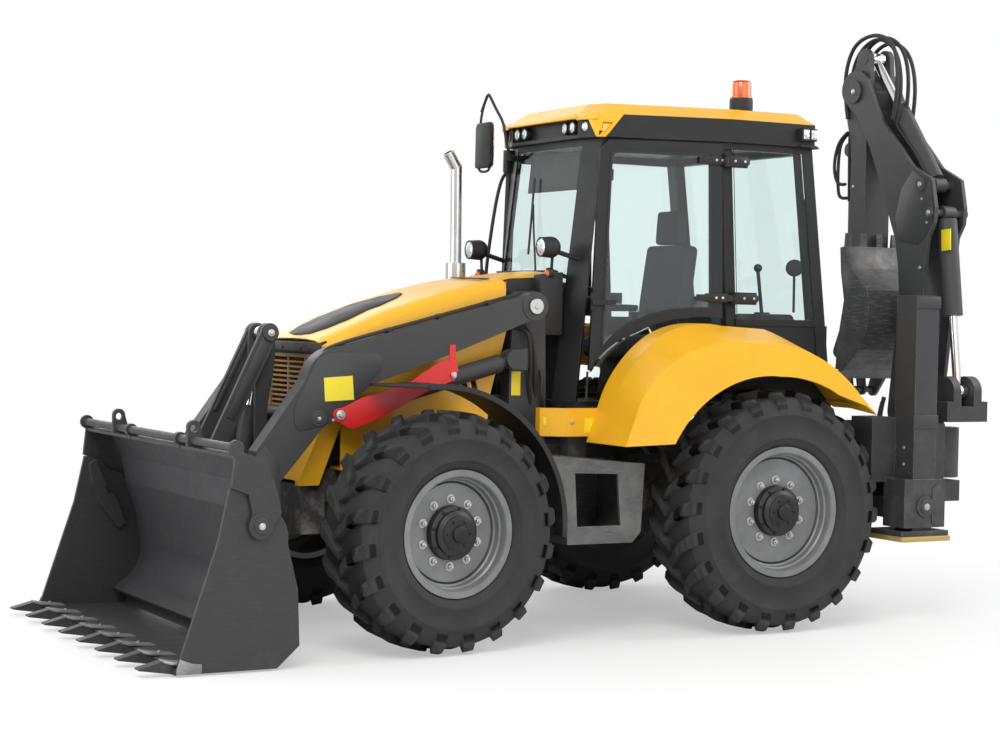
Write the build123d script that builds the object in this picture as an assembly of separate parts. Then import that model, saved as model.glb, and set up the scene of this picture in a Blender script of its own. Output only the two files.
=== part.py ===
from build123d import *
import math
import os

# Backhoe loader, millimetres. +X forward, +Y left, +Z up, ground at Z 0.
# Sections are laid out from the rear axle (X 0); save() then moves every piece by AXLE_X,
# so that the origin is under the middle of the whole machine.

# ---------------------------------------------------------------- driving sizes
FRONT_REACH = 3867          # tooth tips ahead of the rear axle
REAR_REACH = 1790           # rear face of the backhoe bucket behind the rear axle
AXLE_X = (REAR_REACH - FRONT_REACH) / 2
WHEELBASE = 2150
WHEEL_Y = 956               # middle of each tyre
TYRE_WIDTH = 440
STEER_REST = 6              # degrees, front wheels turned to the left
FIT = 0.1                   # running clearance of pins and shafts in their holes
GAP = 5                     # clearance of moving pieces

# wheels: name, axle X, tyre radius, rim flange radius, lug count
WHEELS = {
    "front": dict(x=WHEELBASE, radius=648, flange=342, lugs=20),
    "rear": dict(x=0, radius=705, flange=378, lugs=22),
}
TREAD_DEPTH = 40
LUG_NOSE, LUG_MIDDLE = 8, 112
LUG_HALF = 27
LUG_SKEW = math.radians(38)
HUB_R = 145
SPINDLE_R = 60
SPINDLE_END = 950
HUB_INNER = 906
KINGPIN_Y = 780

RAIL_IN, RAIL_OUT = 300, 345
RAIL_TOP = 940
RAIL_BOTTOM = 500
AXLE_SEAT_REAR = WHEELS["rear"]["radius"] + 115
AXLE_SEAT_FRONT = WHEELS["front"]["radius"] + 114
ENGINE_BOTTOM = AXLE_SEAT_FRONT + 68   # clear of the cross member over the front axle
ENGINE_MOUNT_Z = (ENGINE_BOTTOM - 30, ENGINE_BOTTOM + 30)
MUDGUARD_R = (768, 786)        # inner and outer faces of the front mudguards

ARM_IN, ARM_OUT = 470, 580
TOWER_PIN = (1354, 1863)
TOWER_PIN_R = 45
LIFT_BASE = (1470, 1560)
LIFT_EYE = (2565, 1254)
LIFT_BARREL_R, LIFT_ROD_R = 52, 30
BUCKET_PIN = (2930, 330)
BUCKET_PIN_R = 32
ARM_TUBE = (2686, 1234)
LEVER_FOOT = (2800, 1040)
LEVER_TOP = (2783, 1687)
TILT_BASE = (2960, 600)
TILT_BARREL_R, TILT_ROD_R = 45, 26
BUCKET_HALF = 1220
CLAM_PIN = (3266, 735)
LIP_X = FRONT_REACH - 167   # front edge of the bucket floor, behind the teeth

SIDE_PANEL_Y = 440
HOOD_HALF = 430
SHEET = 12

CAB_SIDE = 738
FENDER_OUT = 1160
SILL_TOP, SILL_BOTTOM = 1290, 1130
CAB_FLOOR = 1290
CAB_TOP = 2850
BAND_TOP = 2985
CAB_HALF = 740
POST_X = 150
DOOR_FRONT = (960, 520)
GLASS = 8
DOOR_HINGE = (160, 785)
HINGE_MIDDLE = 2300
HINGE_LEAN = math.radians(6)
HINGE_LEVELS = (1935, 2740)
HINGE_PIN_R = 8

FRAME_X = (-1100, -900)
TUBE_X = (-1100, -930)
TUBE_Y = (985, 1170)
TUBE_WALL = 12
SLEW = (-1500, 720)
BOOM_HALF = 130
BOOM_PLATE = 25
BOOM_FOOT = (500, 1250)
BOOM_TIP = (-27, 3316)
BOOM_RAM_PIN = (750, 2500)
BOOM_RAM_FOOT = (895, 1390)
DIPPER_HALF = 100
DIPPER_TAIL = (20, 3530)
DIPPER_RAM_PIN = (660, 2680)
HOE_PIN = (0, 1600)
HOE_HALF = 290
HOE_LEVER_PIN = (-50, 1850)
HOE_LEVER_TOP = (-160, 1614)
HOE_EAR = (-110, 1364)
HOE_RAM_PIN = (-170, 2950)


# ---------------------------------------------------------------- shape helpers
def block(x, y, z):
    size = (x[1] - x[0], y[1] - y[0], z[1] - z[0])
    middle = ((x[0] + x[1]) / 2, (y[0] + y[1]) / 2, (z[0] + z[1]) / 2)
    return Pos(*middle) * Box(*size)


def fused(*shapes):
    return Part() + list(shapes)


def outline_wire(points, place):
    """Closed wire: a point is a corner, and ('arc', middle, end) a round stretch."""
    edges = []
    last = points[0]
    for item in points[1:] + [points[0]]:
        if item[0] == "arc":
            edges.append(ThreePointArc(place(last), place(item[1]), place(item[2])).edge())
            last = item[2]
        elif math.dist(last, item) > 0.01:
            edges.append(Edge.make_line(place(last), place(item)))
            last = item
    return Wire(edges)


def plate_y(points, y0, y1):
    """Side plate: an (x, z) outline between two Y values."""
    wire = outline_wire(points, lambda p: Vector(p[0], y0, p[1]))
    return extrude(Face(wire), y1 - y0, dir=(0, 1, 0))


def plate_x(points, x0, x1):
    """Cross plate: a (y, z) outline between two X values."""
    wire = outline_wire(points, lambda p: Vector(x0, p[0], p[1]))
    return extrude(Face(wire), x1 - x0, dir=(1, 0, 0))


def plate_z(points, z0, z1):
    """Flat plate: an (x, y) outline between two Z values."""
    wire = outline_wire(points, lambda p: Vector(p[0], p[1], z0))
    return extrude(Face(wire), z1 - z0, dir=(0, 0, 1))


def rod(a, b, radius):
    axis = Vector(*b) - Vector(*a)
    return Part() + [Solid.make_cylinder(radius, axis.length, Plane(origin=a, z_dir=axis))]


def rod_y(at, y0, y1, radius):
    return rod((at[0], y0, at[1]), (at[0], y1, at[1]), radius)


def rod_x(at, x0, x1, radius):
    return rod((x0, at[0], at[1]), (x1, at[0], at[1]), radius)


def toward(a, b, distance):
    """The point at this distance from a on the way to b."""
    length = math.dist(a, b)
    return tuple(p + (q - p) * distance / length for p, q in zip(a, b))


def mirrored(shape):
    return mirror(shape, about=Plane.XZ)


def both(*shapes):
    return [s for shape in shapes for s in (shape, mirrored(shape))]


def lofted(bottom, top):
    wires = [Wire.make_polygon([Vector(*p) for p in level], close=True) for level in (bottom, top)]
    return Part() + [Solid.make_loft(wires, ruled=True)]


def save(node, shapes):
    solids = [s for shape in shapes for s in shape.solids()]
    whole = Compound(children=[Pos(AXLE_X, 0, 0) * s for s in solids])
    export_step(whole, os.path.join("parts", node + ".step"))


# ---------------------------------------------------------------- wheels
def wheel_of_revolution(profile, x, z, side, turn=0):
    """Revolve an (r, w) profile about the wheel's own axle; w points away from the machine."""
    face = Face(Wire.make_polygon([Vector(r, side * w, 0) for r, w in profile], close=True))
    shape = revolve(face, Axis.Y)
    shape = Pos(0, side * (WHEEL_Y - KINGPIN_Y), 0) * shape
    return Pos(x, side * KINGPIN_Y, z) * Rot(0, 0, turn) * shape


def ring(count, radius, w):
    """Regular polygon round the axle at width w, its flats this far from the axle."""
    corner = radius / math.cos(math.pi / count)
    turns = [2 * math.pi * (k + 0.5) / count for k in range(count)]
    return Wire.make_polygon([Vector(corner * math.sin(a), w, corner * math.cos(a)) for a in turns],
                             close=True)


def drum(count, *levels):
    """Faceted drum through (radius, width) levels."""
    return Part() + [Solid.make_loft([ring(count, r, w) for r, w in levels], ruled=True)]


def lug(radius, hand):
    """Tread lug at the top of the tyre: its nose leads at the middle, its tail trails at the shoulder."""
    reach = (LUG_MIDDLE - LUG_NOSE) * math.tan(LUG_SKEW) + LUG_HALF
    top = math.sqrt(radius ** 2 - reach ** 2)
    base = radius - TREAD_DEPTH
    outline = [(LUG_NOSE, base - 25), (LUG_NOSE, top), (158, top), (196, base - 6), (196, base - 25)]
    points = [Vector(LUG_HALF - (w - LUG_MIDDLE) * math.tan(LUG_SKEW), hand * w, z) for w, z in outline]
    shape = extrude(Face(Wire.make_polygon(points, close=True)), 2 * LUG_HALF, dir=(-1, 0, 0))
    return Rot(0, -math.degrees(math.atan2(reach, top)), 0) * shape


def tyre(axle, side):
    """Faceted carcass with a flat for every lug, and two rows of lugs half a pitch apart."""
    wheel = WHEELS[axle]
    r, f, count = wheel["radius"], wheel["flange"], wheel["lugs"]
    half, base = TYRE_WIDTH / 2, wheel["radius"] - TREAD_DEPTH
    body = drum(count, (f + 100, -half), (base, 20 - half), (base, half - 20), (f + 100, half))
    body -= drum(count, (f - 22 + FIT, -half - 5), (f - 22 + FIT, half + 5))
    for s in (1, -1):
        body -= drum(count, (f + 6, s * 165), (f + 6, s * (half + 5)))
    lugs = [Rot(0, 360 * (k + shift) / count, 0) * lug(r, hand)
            for hand, shift in ((1, 0), (-1, 0.5)) for k in range(count)]
    turn = STEER_REST if axle == "front" else 0
    shape = Pos(0, side * (WHEEL_Y - KINGPIN_Y), 0) * fused(body, *lugs)
    return Pos(wheel["x"], side * KINGPIN_Y, r) * Rot(0, 0, turn) * shape


def rim(axle, side):
    wheel = WHEELS[axle]
    f = wheel["flange"]
    disc = [(f - 34, 44), (f - 70, 52), (f - 86, 86), (HUB_R, 86)]
    outer = [(f, 190), (f, 178), (f - 22, 170), (f - 22, -170), (f, -178), (f, -190), (f - 34, -190)]
    hub_in = HUB_INNER - WHEEL_Y
    bore_end = SPINDLE_END - WHEEL_Y + GAP
    hub = [(HUB_R, hub_in), (SPINDLE_R + FIT, hub_in), (SPINDLE_R + FIT, bore_end), (0, bore_end),
           (0, 184), (100, 184), (122, 170), (122, 148), (HUB_R, 142)]
    face = [(HUB_R, 100), (f - 78, 100), (f - 62, 68), (f - 34, 62), (f - 34, 190)]
    turn = STEER_REST if axle == "front" else 0
    return wheel_of_revolution(outer + disc + hub + face, wheel["x"], wheel["radius"], side, turn)


def wheels():
    for axle in WHEELS:
        for side, word in ((1, "left"), (-1, "right")):
            save(f"tyre_{axle}_{word}", [tyre(axle, side)])
            save(f"rim_{axle}_{word}", [rim(axle, side)])


# ---------------------------------------------------------------- running gear
def rear_axle():
    z = WHEELS["rear"]["radius"]
    tube = rod_y((0, z), -HUB_INNER + GAP, HUB_INNER - GAP, 105)
    spindle = rod_y((0, z), -SPINDLE_END, SPINDLE_END, SPINDLE_R)
    bowl = Pos(0, 0, z) * Sphere(185)
    nose = rod((0, 0, z), (230, 0, z - 15), 90)
    seats = [block((-120, 120), sorted((side * RAIL_IN, side * RAIL_OUT)), (z + 40, AXLE_SEAT_REAR))
             for side in (1, -1)]
    return fused(tube, spindle, bowl, nose, *seats)


def front_axle():
    x, z = WHEELBASE, WHEELS["front"]["radius"]
    beam = plate_x([(-690, z - 60), (-300, z - 95), (300, z - 95), (690, z - 60),
                    (690, z + 60), (300, z + 75), (-300, z + 75), (-690, z + 60)], x - 65, x + 65)
    saddle = block((x - 90, x + 90), (-180, 180), (z + 40, AXLE_SEAT_FRONT))
    bowl = Pos(x, 0, z) * Sphere(110)
    nose = rod((x, 0, z), (x - 210, 0, z - 5), 80)
    yokes = []
    for side in (1, -1):
        ys = sorted((side * 660, side * (KINGPIN_Y + 52)))
        yokes += [block((x - 60, x + 60), ys, (z + 96, z + 136)),
                  block((x - 60, x + 60), ys, (z - 136, z - 96))]
        ends = sorted((side * 640, side * 690))
        yokes.append(block((x - 60, x + 60), ends, (z - 136, z + 136)))
    return fused(beam, saddle, bowl, nose, *yokes)


def knuckles():
    z = WHEELS["front"]["radius"]
    for side, word in ((1, "left"), (-1, "right")):
        arm_end = (-175, -side * 30)
        pieces = [
            rod((0, 0, -96 + FIT), (0, 0, 96 - FIT), 56),
            rod((0, 0, 0), (0, side * (SPINDLE_END - KINGPIN_Y), 0), SPINDLE_R),
            rod((0, side * 40, 0), (0, side * (HUB_INNER - GAP - KINGPIN_Y), 0), 88),
            plate_z([(-20, -38), (-20, 38), (arm_end[0], arm_end[1] + 28), (arm_end[0], arm_end[1] - 28)],
                    -30, 0),
            rod((arm_end[0], arm_end[1], -30), (arm_end[0], arm_end[1], 0), 28),
        ]
        shape = Rot(0, 0, STEER_REST) * fused(*pieces)
        save(f"knuckle_{word}", [Pos(WHEELBASE, side * KINGPIN_Y, z) * shape])


def driveline():
    engine = block((1450, 2350), (-250, 250), (ENGINE_BOTTOM, 1400))
    sump = block((1500, 2000), (-150, 150), (AXLE_SEAT_FRONT + 3, ENGINE_BOTTOM))
    bell = rod((1450, 0, 960), (1250, 0, 900), 200)
    gearbox = block((760, 1300), (-215, 215), (470, 1050))
    rear_shaft = rod((236, 0, 690), (800, 0, 636), 38)
    front_shaft = rod((1250, 0, 596), (WHEELBASE - 214, 0, WHEELS["front"]["radius"] - 5), 34)
    lugs = [block(x, y, ENGINE_MOUNT_Z)
            for x in ((1600, 1700), (2100, 2200)) for y in ((250, 298), (-298, -250))]
    save("driveline", [fused(engine, sump, bell, gearbox, rear_shaft, front_shaft, *lugs)])


def chassis():
    rail = plate_y([(FRAME_X[1], 560), (-160, 560), (-160, AXLE_SEAT_REAR), (160, AXLE_SEAT_REAR),
                    (160, RAIL_BOTTOM), (1900, RAIL_BOTTOM), (1900, AXLE_SEAT_FRONT), (2560, AXLE_SEAT_FRONT),
                    (2560, RAIL_TOP), (FRAME_X[1], RAIL_TOP)], RAIL_IN, RAIL_OUT)
    # cross members: X range, Z range
    members = [((FRAME_X[1], -870), (560, RAIL_TOP)), ((400, 460), (RAIL_BOTTOM, 560)),
               ((1440, 1500), (RAIL_BOTTOM, 550)), ((2060, 2240), (AXLE_SEAT_FRONT, AXLE_SEAT_FRONT + 38)),
               ((2520, 2560), (AXLE_SEAT_FRONT, RAIL_TOP))]
    inside = (-RAIL_IN, RAIL_IN)
    carriers = [block(x, inside, z) for x, z in members]
    weight = block((2560, 2700), (-400, 400), (590, 860))
    weight_top = block((2560, 2660), (-360, 360), (860, RAIL_TOP))
    mounts = []
    for side in (1, -1):
        for x in (1600, 2100):
            mounts.append(block((x, x + 100), sorted((side * 298, side * RAIL_IN)), ENGINE_MOUNT_Z))
        for x in (-560, 860):
            mounts.append(block((x, x + 120), sorted((side * 250, side * RAIL_OUT)),
                                (RAIL_TOP, CAB_FLOOR - 20)))
    save("chassis", [fused(rail, mirrored(rail), weight, weight_top, *carriers, *mounts)])


# ---------------------------------------------------------------- body panels
HOOD_TOP = [(1095, 2066), (1240, 2054), (1606, 1997), (1809, 1947), (2229, 1814), (2470, 1711), (2594, 1654)]
HOOD_SEAM = [(2594, 1612), (1440, 1890)]
HOOD_SEAM_SLOPE = (1890 - 1612) / (2594 - 1440)
NOSE_X = 2545
PANEL_BOTTOM = 955


def hood_block():
    return plate_y(HOOD_TOP + HOOD_SEAM + [(1095, 1890)], -HOOD_HALF, HOOD_HALF)


def hood():
    lowered = [(x - SHEET, z - SHEET) for x, z in HOOD_TOP]
    inner = plate_y(lowered + [(2594 - SHEET, 1500), (1083, 1500)], SHEET - HOOD_HALF, HOOD_HALF - SHEET)
    shell = hood_block() - inner
    for side in (1, -1):
        shell -= block((1000, 1462), sorted((side * 352, side * 500)), (1500, 2100))
    save("hood", [shell])


def side_panels():
    seam_z = [HOOD_SEAM[0][1] + (HOOD_SEAM[0][0] - x) * HOOD_SEAM_SLOPE for x in (1464, 2486)]
    panel = plate_y([(1464, seam_z[0]), (2486, seam_z[1]), (2486, PANEL_BOTTOM), (1600, PANEL_BOTTOM),
                     (1558, 1364),
                     (1464, 1709)], SIDE_PANEL_Y - SHEET, SIDE_PANEL_Y)
    foot = block((1600, 2486), (RAIL_IN, SIDE_PANEL_Y), (RAIL_TOP, PANEL_BOTTOM))
    slots = [plate_y([(x, 1380), (x + 34, 1380), (x + 64, 1500), (x + 30, 1500)], 400, 460)
             for x in (1640, 1700, 1760)]
    side = fused(panel, foot) - slots
    return both(side)


def nose_guard():
    strip = plate_y([(2490, 1600), (2590, 1600), (2600, 1183), (2734, 886), (2734, 860), (2614, 860),
                     (2490, 1183)], 392, SIDE_PANEL_Y)
    lower = plate_y([(2585, 1183), (2600, 1183), (2734, 886), (2719, 886)], -392, 392)
    return fused(strip, mirrored(strip), lower)


def grille():
    half, low, high = 392, 1190, 1600
    frame = block((NOSE_X, NOSE_X + 30), (-half, half), (low, high))
    frame -= block((NOSE_X - 5, NOSE_X + 40), (-half + 30, half - 30), (low + 30, high - 50))
    bars = [block((NOSE_X + 8, NOSE_X + 22), (-half + 20, half - 20), (z, z + 12))
            for z in range(low + 48, high - 60, 28)]
    posts = [block((NOSE_X + 4, NOSE_X + 26), (y - 8, y + 8), (low + 20, high - 40)) for y in (-120, 120)]
    save("grille", [fused(frame, *bars, *posts)])


def exhaust():
    y = -300
    stack = [rod((1413, y, 1990), (1413, y, 2120), 60), rod((1413, y, 2110), (1420, y, 2700), 34),
             rod((1420, y, 2690), (1478, y, 2782), 34), Pos(1420, y, 2694) * Sphere(34)]
    bore = rod((1446, y, 2732), (1482, y, 2788), 29)
    save("exhaust", [fused(*stack) - hood_block() - bore])


def mudguards():
    """Front mudguards: an arched strip over each front tyre, carried by a tube from the tower."""
    cx, cz = WHEELBASE, WHEELS["front"]["radius"]
    inner, outer = MUDGUARD_R

    def at(radius, angle):
        a = math.radians(angle)
        return (cx + radius * math.cos(a), cz + radius * math.sin(a))

    arch = plate_y([at(inner, 68), ("arc", at(inner, 120), at(inner, 184)), at(outer, 184),
                    ("arc", at(outer, 120), at(outer, 68))], 620, 1000)
    nose = plate_y([at(inner, 68), at(outer, 68), (2632, 1396), (2626, 1378)], 620, 1000)
    tube = rod((1510, 465, 1165), (1510, 640, 1165), 28)
    bracket = block((1450, 1545), (445, 470), (1130, 1200))
    foot = block((1475, 1545), (612, 640), (1120, 1200)) - plate_y(
        [at(inner + 2, 100), ("arc", at(inner + 2, 140), at(inner + 2, 180)), (cx, cz)], 600, 700)
    save("front_mudguards", both(fused(arch, nose, tube, bracket, foot)))


FENDER_TOP = [(767, 1108), (1094, 1097), (1000, 1368), ("arc", (870, 1570), (712, 1706)),
              ("arc", (599, 1755), (301, 1773)), (-6, 1757), ("arc", (-217, 1675), (-522, 1450)),
              (-656, 1291), (-575, 1345)]
FENDER_ARCH = [(-376, 1379), ("arc", (-165, 1463), (40, 1487)), ("arc", (425, 1424), (767, 1108))]


FENDER_CREASE = [(767, 1108), (1094, 1097), (1003, 1340), ("arc", (868, 1506), (706, 1612)),
                 ("arc", (531, 1664), (301, 1684)), (-6, 1668), ("arc", (-219, 1600), (-528, 1380)),
                 (-656, 1262), (-575, 1315)]
FENDER_SHOULDER = 900


def crown(inner, outer, y0, y1, y2):
    """Side plate from y0 to y1 that goes on to y2 with its outline changing to the outer one."""
    ends = [outline_wire(points, lambda p, y=y: Vector(p[0], y, p[1]))
            for points, y in ((inner, y1), (outer, y2))]
    return fused(plate_y(inner, y0, y1), Part() + [Solid.make_loft(ends, ruled=True)])


def fender():
    """Rear fender: a crown over the tyre whose outer shoulder falls to a deep skirt."""
    whole = crown(FENDER_TOP + FENDER_ARCH, FENDER_CREASE + FENDER_ARCH, CAB_SIDE, FENDER_SHOULDER,
                  FENDER_OUT)
    under = [(767, 1000), (1070, 1000), (978, 1356), ("arc", (852, 1550), (700, 1684)),
             ("arc", (594, 1733), (301, 1751)), (0, 1735), ("arc", (-207, 1655), (-508, 1432)),
             (-600, 1340), (-560, 1000)]
    under_crease = [(767, 1000), (1070, 1000), (980, 1326), ("arc", (850, 1488), (694, 1592)),
                    ("arc", (527, 1644), (301, 1664)), (0, 1648), ("arc", (-212, 1580), (-514, 1362)),
                    (-600, 1300), (-560, 1000)]
    hollow = crown(under, under_crease, CAB_SIDE - 10, FENDER_SHOULDER, FENDER_OUT - 20)
    return whole - hollow


def fenders():
    save("rear_fenders", both(fender()))


def sills():
    """Yellow sills under the cab doors, turned in at the front, with a step board below."""
    outer = [(770, CAB_SIDE), (1245, CAB_SIDE), (1362, 668), (1362, 620), (1240, 694), (770, 694)]
    rail = plate_z(outer, SILL_BOTTOM, SILL_TOP)
    bracket = block((900, 1000), (RAIL_OUT, 694), (1180, 1230))
    save("side_sills", both(fused(rail, bracket)))


def steps():
    box = plate_y([(1434, 1036), (832, 985), (850, 600), (905, 541), (1330, 541), (1345, 700)], 465, 950)
    opening = plate_y([(1290, 940), (1010, 930), (985, 640), (1270, 640)], 560, 1000)
    lower = plate_y([(1270, 540), (985, 540), (985, 600), (1270, 600)], 800, 1000)
    hollow = plate_y([(1405, 1010), (860, 962), (876, 620), (915, 566), (1308, 566), (1320, 700)], 486, 930)
    shell = fused(box - opening) - hollow
    shell -= rod_y((WHEELBASE, WHEELS["front"]["radius"]), 400, 1000, MUDGUARD_R[1] + 4)
    save("side_steps", both(shell))


def tower():
    column = plate_y([(1210, 560), (1450, 560), (1450, 1480), (1430, 1945), (1290, 1950), (1225, 1900),
                      (1210, 1400)], 360, 465)
    foot = block((1210, 1450), (RAIL_OUT, 465), (560, 900))
    base_pad = block((1395, 1420), (465, 574), (1500, 1620))
    ears = [plate_y([(1400, 1500), (1470, 1505), ("arc", (1525, 1560), (1470, 1615)), (1400, 1620)], y0, y1)
            for y0, y1 in ((476, 492), (558, 574))]
    ram_pin = rod_y(LIFT_BASE, 476, 574, 22)
    arm_pin = rod_y(TOWER_PIN, 460, 594, TOWER_PIN_R)
    post = fused(column, foot, base_pad, *ears, ram_pin, arm_pin)
    cap = block((1228, 1425), (-330, 330), (1500, 1540))
    links = [block((1228, 1425), sorted((s * 320, s * 365)), (1500, 1540)) for s in (1, -1)]
    save("loader_tower", [fused(post, mirrored(post), cap, *links)])


# ---------------------------------------------------------------- cab
def cab_ring(front, corner, side_y, rear, inset, z0, z1):
    """A flat ring with the plan of the cab between two heights."""
    def plan(d):
        return [(front - d, -385 + d / 2), (front - d, 385 - d / 2), (corner[0] - d / 2, corner[1] - d),
                (POST_X, side_y - d), (rear + d, side_y - d), (rear + d, d - side_y), (POST_X, d - side_y),
                (corner[0] - d / 2, d - corner[1])]
    return plate_z(plan(0), z0, z1) - plate_z(plan(inset), z0 - 1, z1 + 1)


def front_post():
    low = [(1128, 385, CAB_FLOOR), (1090, 385, CAB_FLOOR), (1000, 465, CAB_FLOOR), (1030, 499, CAB_FLOOR)]
    high = [(945, 385, CAB_TOP), (905, 385, CAB_TOP), (875, 495, CAB_TOP), (905, 533, CAB_TOP)]
    return lofted(low, high)


def hinge_at(z):
    """A point on the door's hinge line, which leans forward with the middle post."""
    return (DOOR_HINGE[0] + (z - HINGE_MIDDLE) * math.tan(HINGE_LEAN), DOOR_HINGE[1], z)


def door_hinges():
    """Fixed halves of the door hinges: a foot on the middle post, a strap, two lugs and the pin."""
    halves = []
    for z in HINGE_LEVELS:
        x = hinge_at(z)[0]
        halves += [block((x - 40, x - 15), (726, 740), (z - 28, z + 28)),
                   block((x - 170, x - 12), (737, 765), (z - 36, z + 36)),
                   block((x - 20, x + 14), (762, 800), (z + 22, z + 36)),
                   block((x - 20, x + 14), (762, 800), (z - 36, z - 22)),
                   rod(hinge_at(z - 36), hinge_at(z + 36), HINGE_PIN_R)]
    return halves


def cab_frame():
    roof_ring = cab_ring(945, (905, 533), CAB_SIDE, -450, 60, CAB_TOP - 40, CAB_TOP)
    sill_ring = cab_ring(1128, (1030, 499), CAB_SIDE, -620, 60, CAB_FLOOR, CAB_FLOOR + 30)
    b_post = lofted([(40, 670, CAB_FLOOR), (40, 726, CAB_FLOOR), (110, 726, CAB_FLOOR),
                     (110, 670, CAB_FLOOR)],
                    [(130, 670, CAB_TOP), (130, 726, CAB_TOP), (200, 726, CAB_TOP), (200, 670, CAB_TOP)])
    c_post = lofted([(-640, 640, CAB_FLOOR), (-640, 738, CAB_FLOOR), (-560, 738, CAB_FLOOR),
                     (-560, 640, CAB_FLOOR)],
                    [(-450, 640, CAB_TOP), (-450, 738, CAB_TOP), (-375, 738, CAB_TOP), (-375, 640, CAB_TOP)])
    waist = block((-570, 75), (690, 738), (1775, 1815))
    wall = block((-600, 75), (712, 730), (CAB_FLOOR + 10, 1780))
    side = [front_post(), b_post, c_post, waist, wall, *door_hinges()]
    rear_wall = lofted([(-640, -650, CAB_FLOOR), (-640, 650, CAB_FLOOR), (-620, 650, CAB_FLOOR),
                        (-620, -650, CAB_FLOOR)],
                       [(-592, -650, 1700), (-592, 650, 1700), (-572, 650, 1700), (-572, -650, 1700)])
    cowl = block((1010, 1075), (-350, 350), (CAB_FLOOR, 1990))
    save("cab_frame", [fused(roof_ring, sill_ring, rear_wall, cowl, cab_floor(), *both(*side))])


def cab_floor():
    plan = [(1125, -380), (1125, 380), (1030, 530), (780, 600), (150, 712), (-635, 712),
            (-635, -712), (150, -712), (780, -600), (1030, -530)]
    return plate_z(plan, CAB_FLOOR - 20, CAB_FLOOR)


ROOF_PLAN = [(985, -400), (985, 400), (940, 560), (POST_X, 765), (-450, 765), (-450, -765),
             (POST_X, -765), (940, -560)]


def roof_cap():
    base = [(x, y, BAND_TOP) for x, y in ROOF_PLAN]
    crown = [(x - 90 if x > 0 else x + 60, y * 0.86, BAND_TOP + 70) for x, y in ROOF_PLAN]
    return lofted(base, crown)


def roof_band_block():
    return plate_z(ROOF_PLAN, CAB_TOP, BAND_TOP)


def roof():
    lamp_bay = block((955, 1000), (-390, 390), (CAB_TOP + 20, CAB_TOP + 110))
    save("roof_band", [roof_band_block() - lamp_bay])
    save("roof_cap", [roof_cap()])


def lamps():
    bay_x, bay_z = 955, CAB_TOP + 66
    pieces = []
    for y in (-330, -240, 240, 330):
        pieces.append(rod((bay_x, y, bay_z), (bay_x + 30, y, bay_z), 38))
    for side in (1, -1):
        post = front_post() if side > 0 else mirrored(front_post())
        stalk = rod((980, side * 445, 2140), (1165, side * 440, 2190), 14)
        outline = [(0, 0), ("arc", (16, 44), (60, 62)), (88, 60), (118, 57), (118, 0)]
        face = Face(outline_wire(outline, lambda p: Vector(1125 + p[0], side * 442, 2207 + p[1])))
        shell = revolve(face, Axis((0, side * 442, 2207), (1, 0, 0)))
        turn_lamp = rod((1160, side * 425, 2060), (1190, side * 425, 2060), 30)
        arm = rod((1165, side * 425, 2060), (1165, side * 436, 2160), 9)
        pieces.append(fused(stalk - post, shell, turn_lamp, arm))
        pieces.append(block((-440, -330), sorted((side * 765, side * 800)), (2885, 2960)))
    beacon = fused(rod((-50, 560, BAND_TOP + 30), (-50, 560, 3120), 26),
                   rod((-50, 560, 3116), (-50, 560, 3136), 62),
                   rod((-50, 560, 3130), (-50, 560, 3235), 55))
    save("lamps", [*pieces, beacon - roof_cap()])


def mirror_and_bar():
    x, y = 1056, -620
    bar = [rod((960, -545, 2900), (x, y, 2960), 12), rod((x, y, 2700), (x, y, 3060), 12)]
    foot = block((930, 985), (-590, -500), (2885, 2915)) - roof_band_block()
    glass = block((x - 12, x + 12), (y - 90, y + 90), (2710, 3000))
    save("mirror", [fused(*bar, foot, glass)])


# ---------------------------------------------------------------- doors and glass
def door_place(shape):
    """Move a piece drawn in (distance ahead of the hinge post, height) onto the door's plane."""
    angle = math.degrees(math.atan2(DOOR_FRONT[1] - CAB_HALF, DOOR_FRONT[0] - POST_X))
    return Pos(POST_X, CAB_HALF, 0) * Rot(0, 0, angle) * shape


DOOR_EDGE = [(35, 1815), ("arc", (330, 1803), (560, 1728)), ("arc", (740, 1622), (838, 1500)),
             (845, 1500), (800, 2790), (750, 2838), (60, 2838)]
DOOR_PANE = [(105, 1870), ("arc", (345, 1856), (590, 1776)), ("arc", (710, 1704), (775, 1630)),
             (740, 2740), (705, 2775), (130, 2775)]


def doors():
    frame = plate_y(DOOR_EDGE, 3, 33) - plate_y(DOOR_PANE, 0, 40)
    pane = plate_y(DOOR_PANE, 14, 14 + GLASS)
    straps = [block((hinge_at(z)[0] - 162, 200), (33, 45), (z - 19, z + 19)) for z in HINGE_LEVELS]
    grip = fused(block((700, 840), (33, 70), (1880, 1912)), block((815, 845), (33, 50), (1850, 1950)))
    rings = [rod(hinge_at(z - 19), hinge_at(z + 19), HINGE_PIN_R + 8) for z in HINGE_LEVELS]
    bore = rod(hinge_at(1800), hinge_at(2850), HINGE_PIN_R + FIT)
    leaf = fused(door_place(fused(frame, *straps, grip)), *rings) - bore
    window = door_place(pane)
    for word, turn in (("left", lambda s: s), ("right", mirrored)):
        save(f"door_{word}", [turn(leaf)])
        save(f"door_glass_{word}", [turn(window)])


def lower_panes():
    """Fixed panes in front of the fenders, flush with the doors above them."""
    pane = plate_y([(425, 1320), (850, 1320), (846, 1492), (828, 1492), ("arc", (734, 1612), (556, 1719)),
                    (480, 1756), (425, 1620)], -15, 33)
    return door_place(pane)


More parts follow.
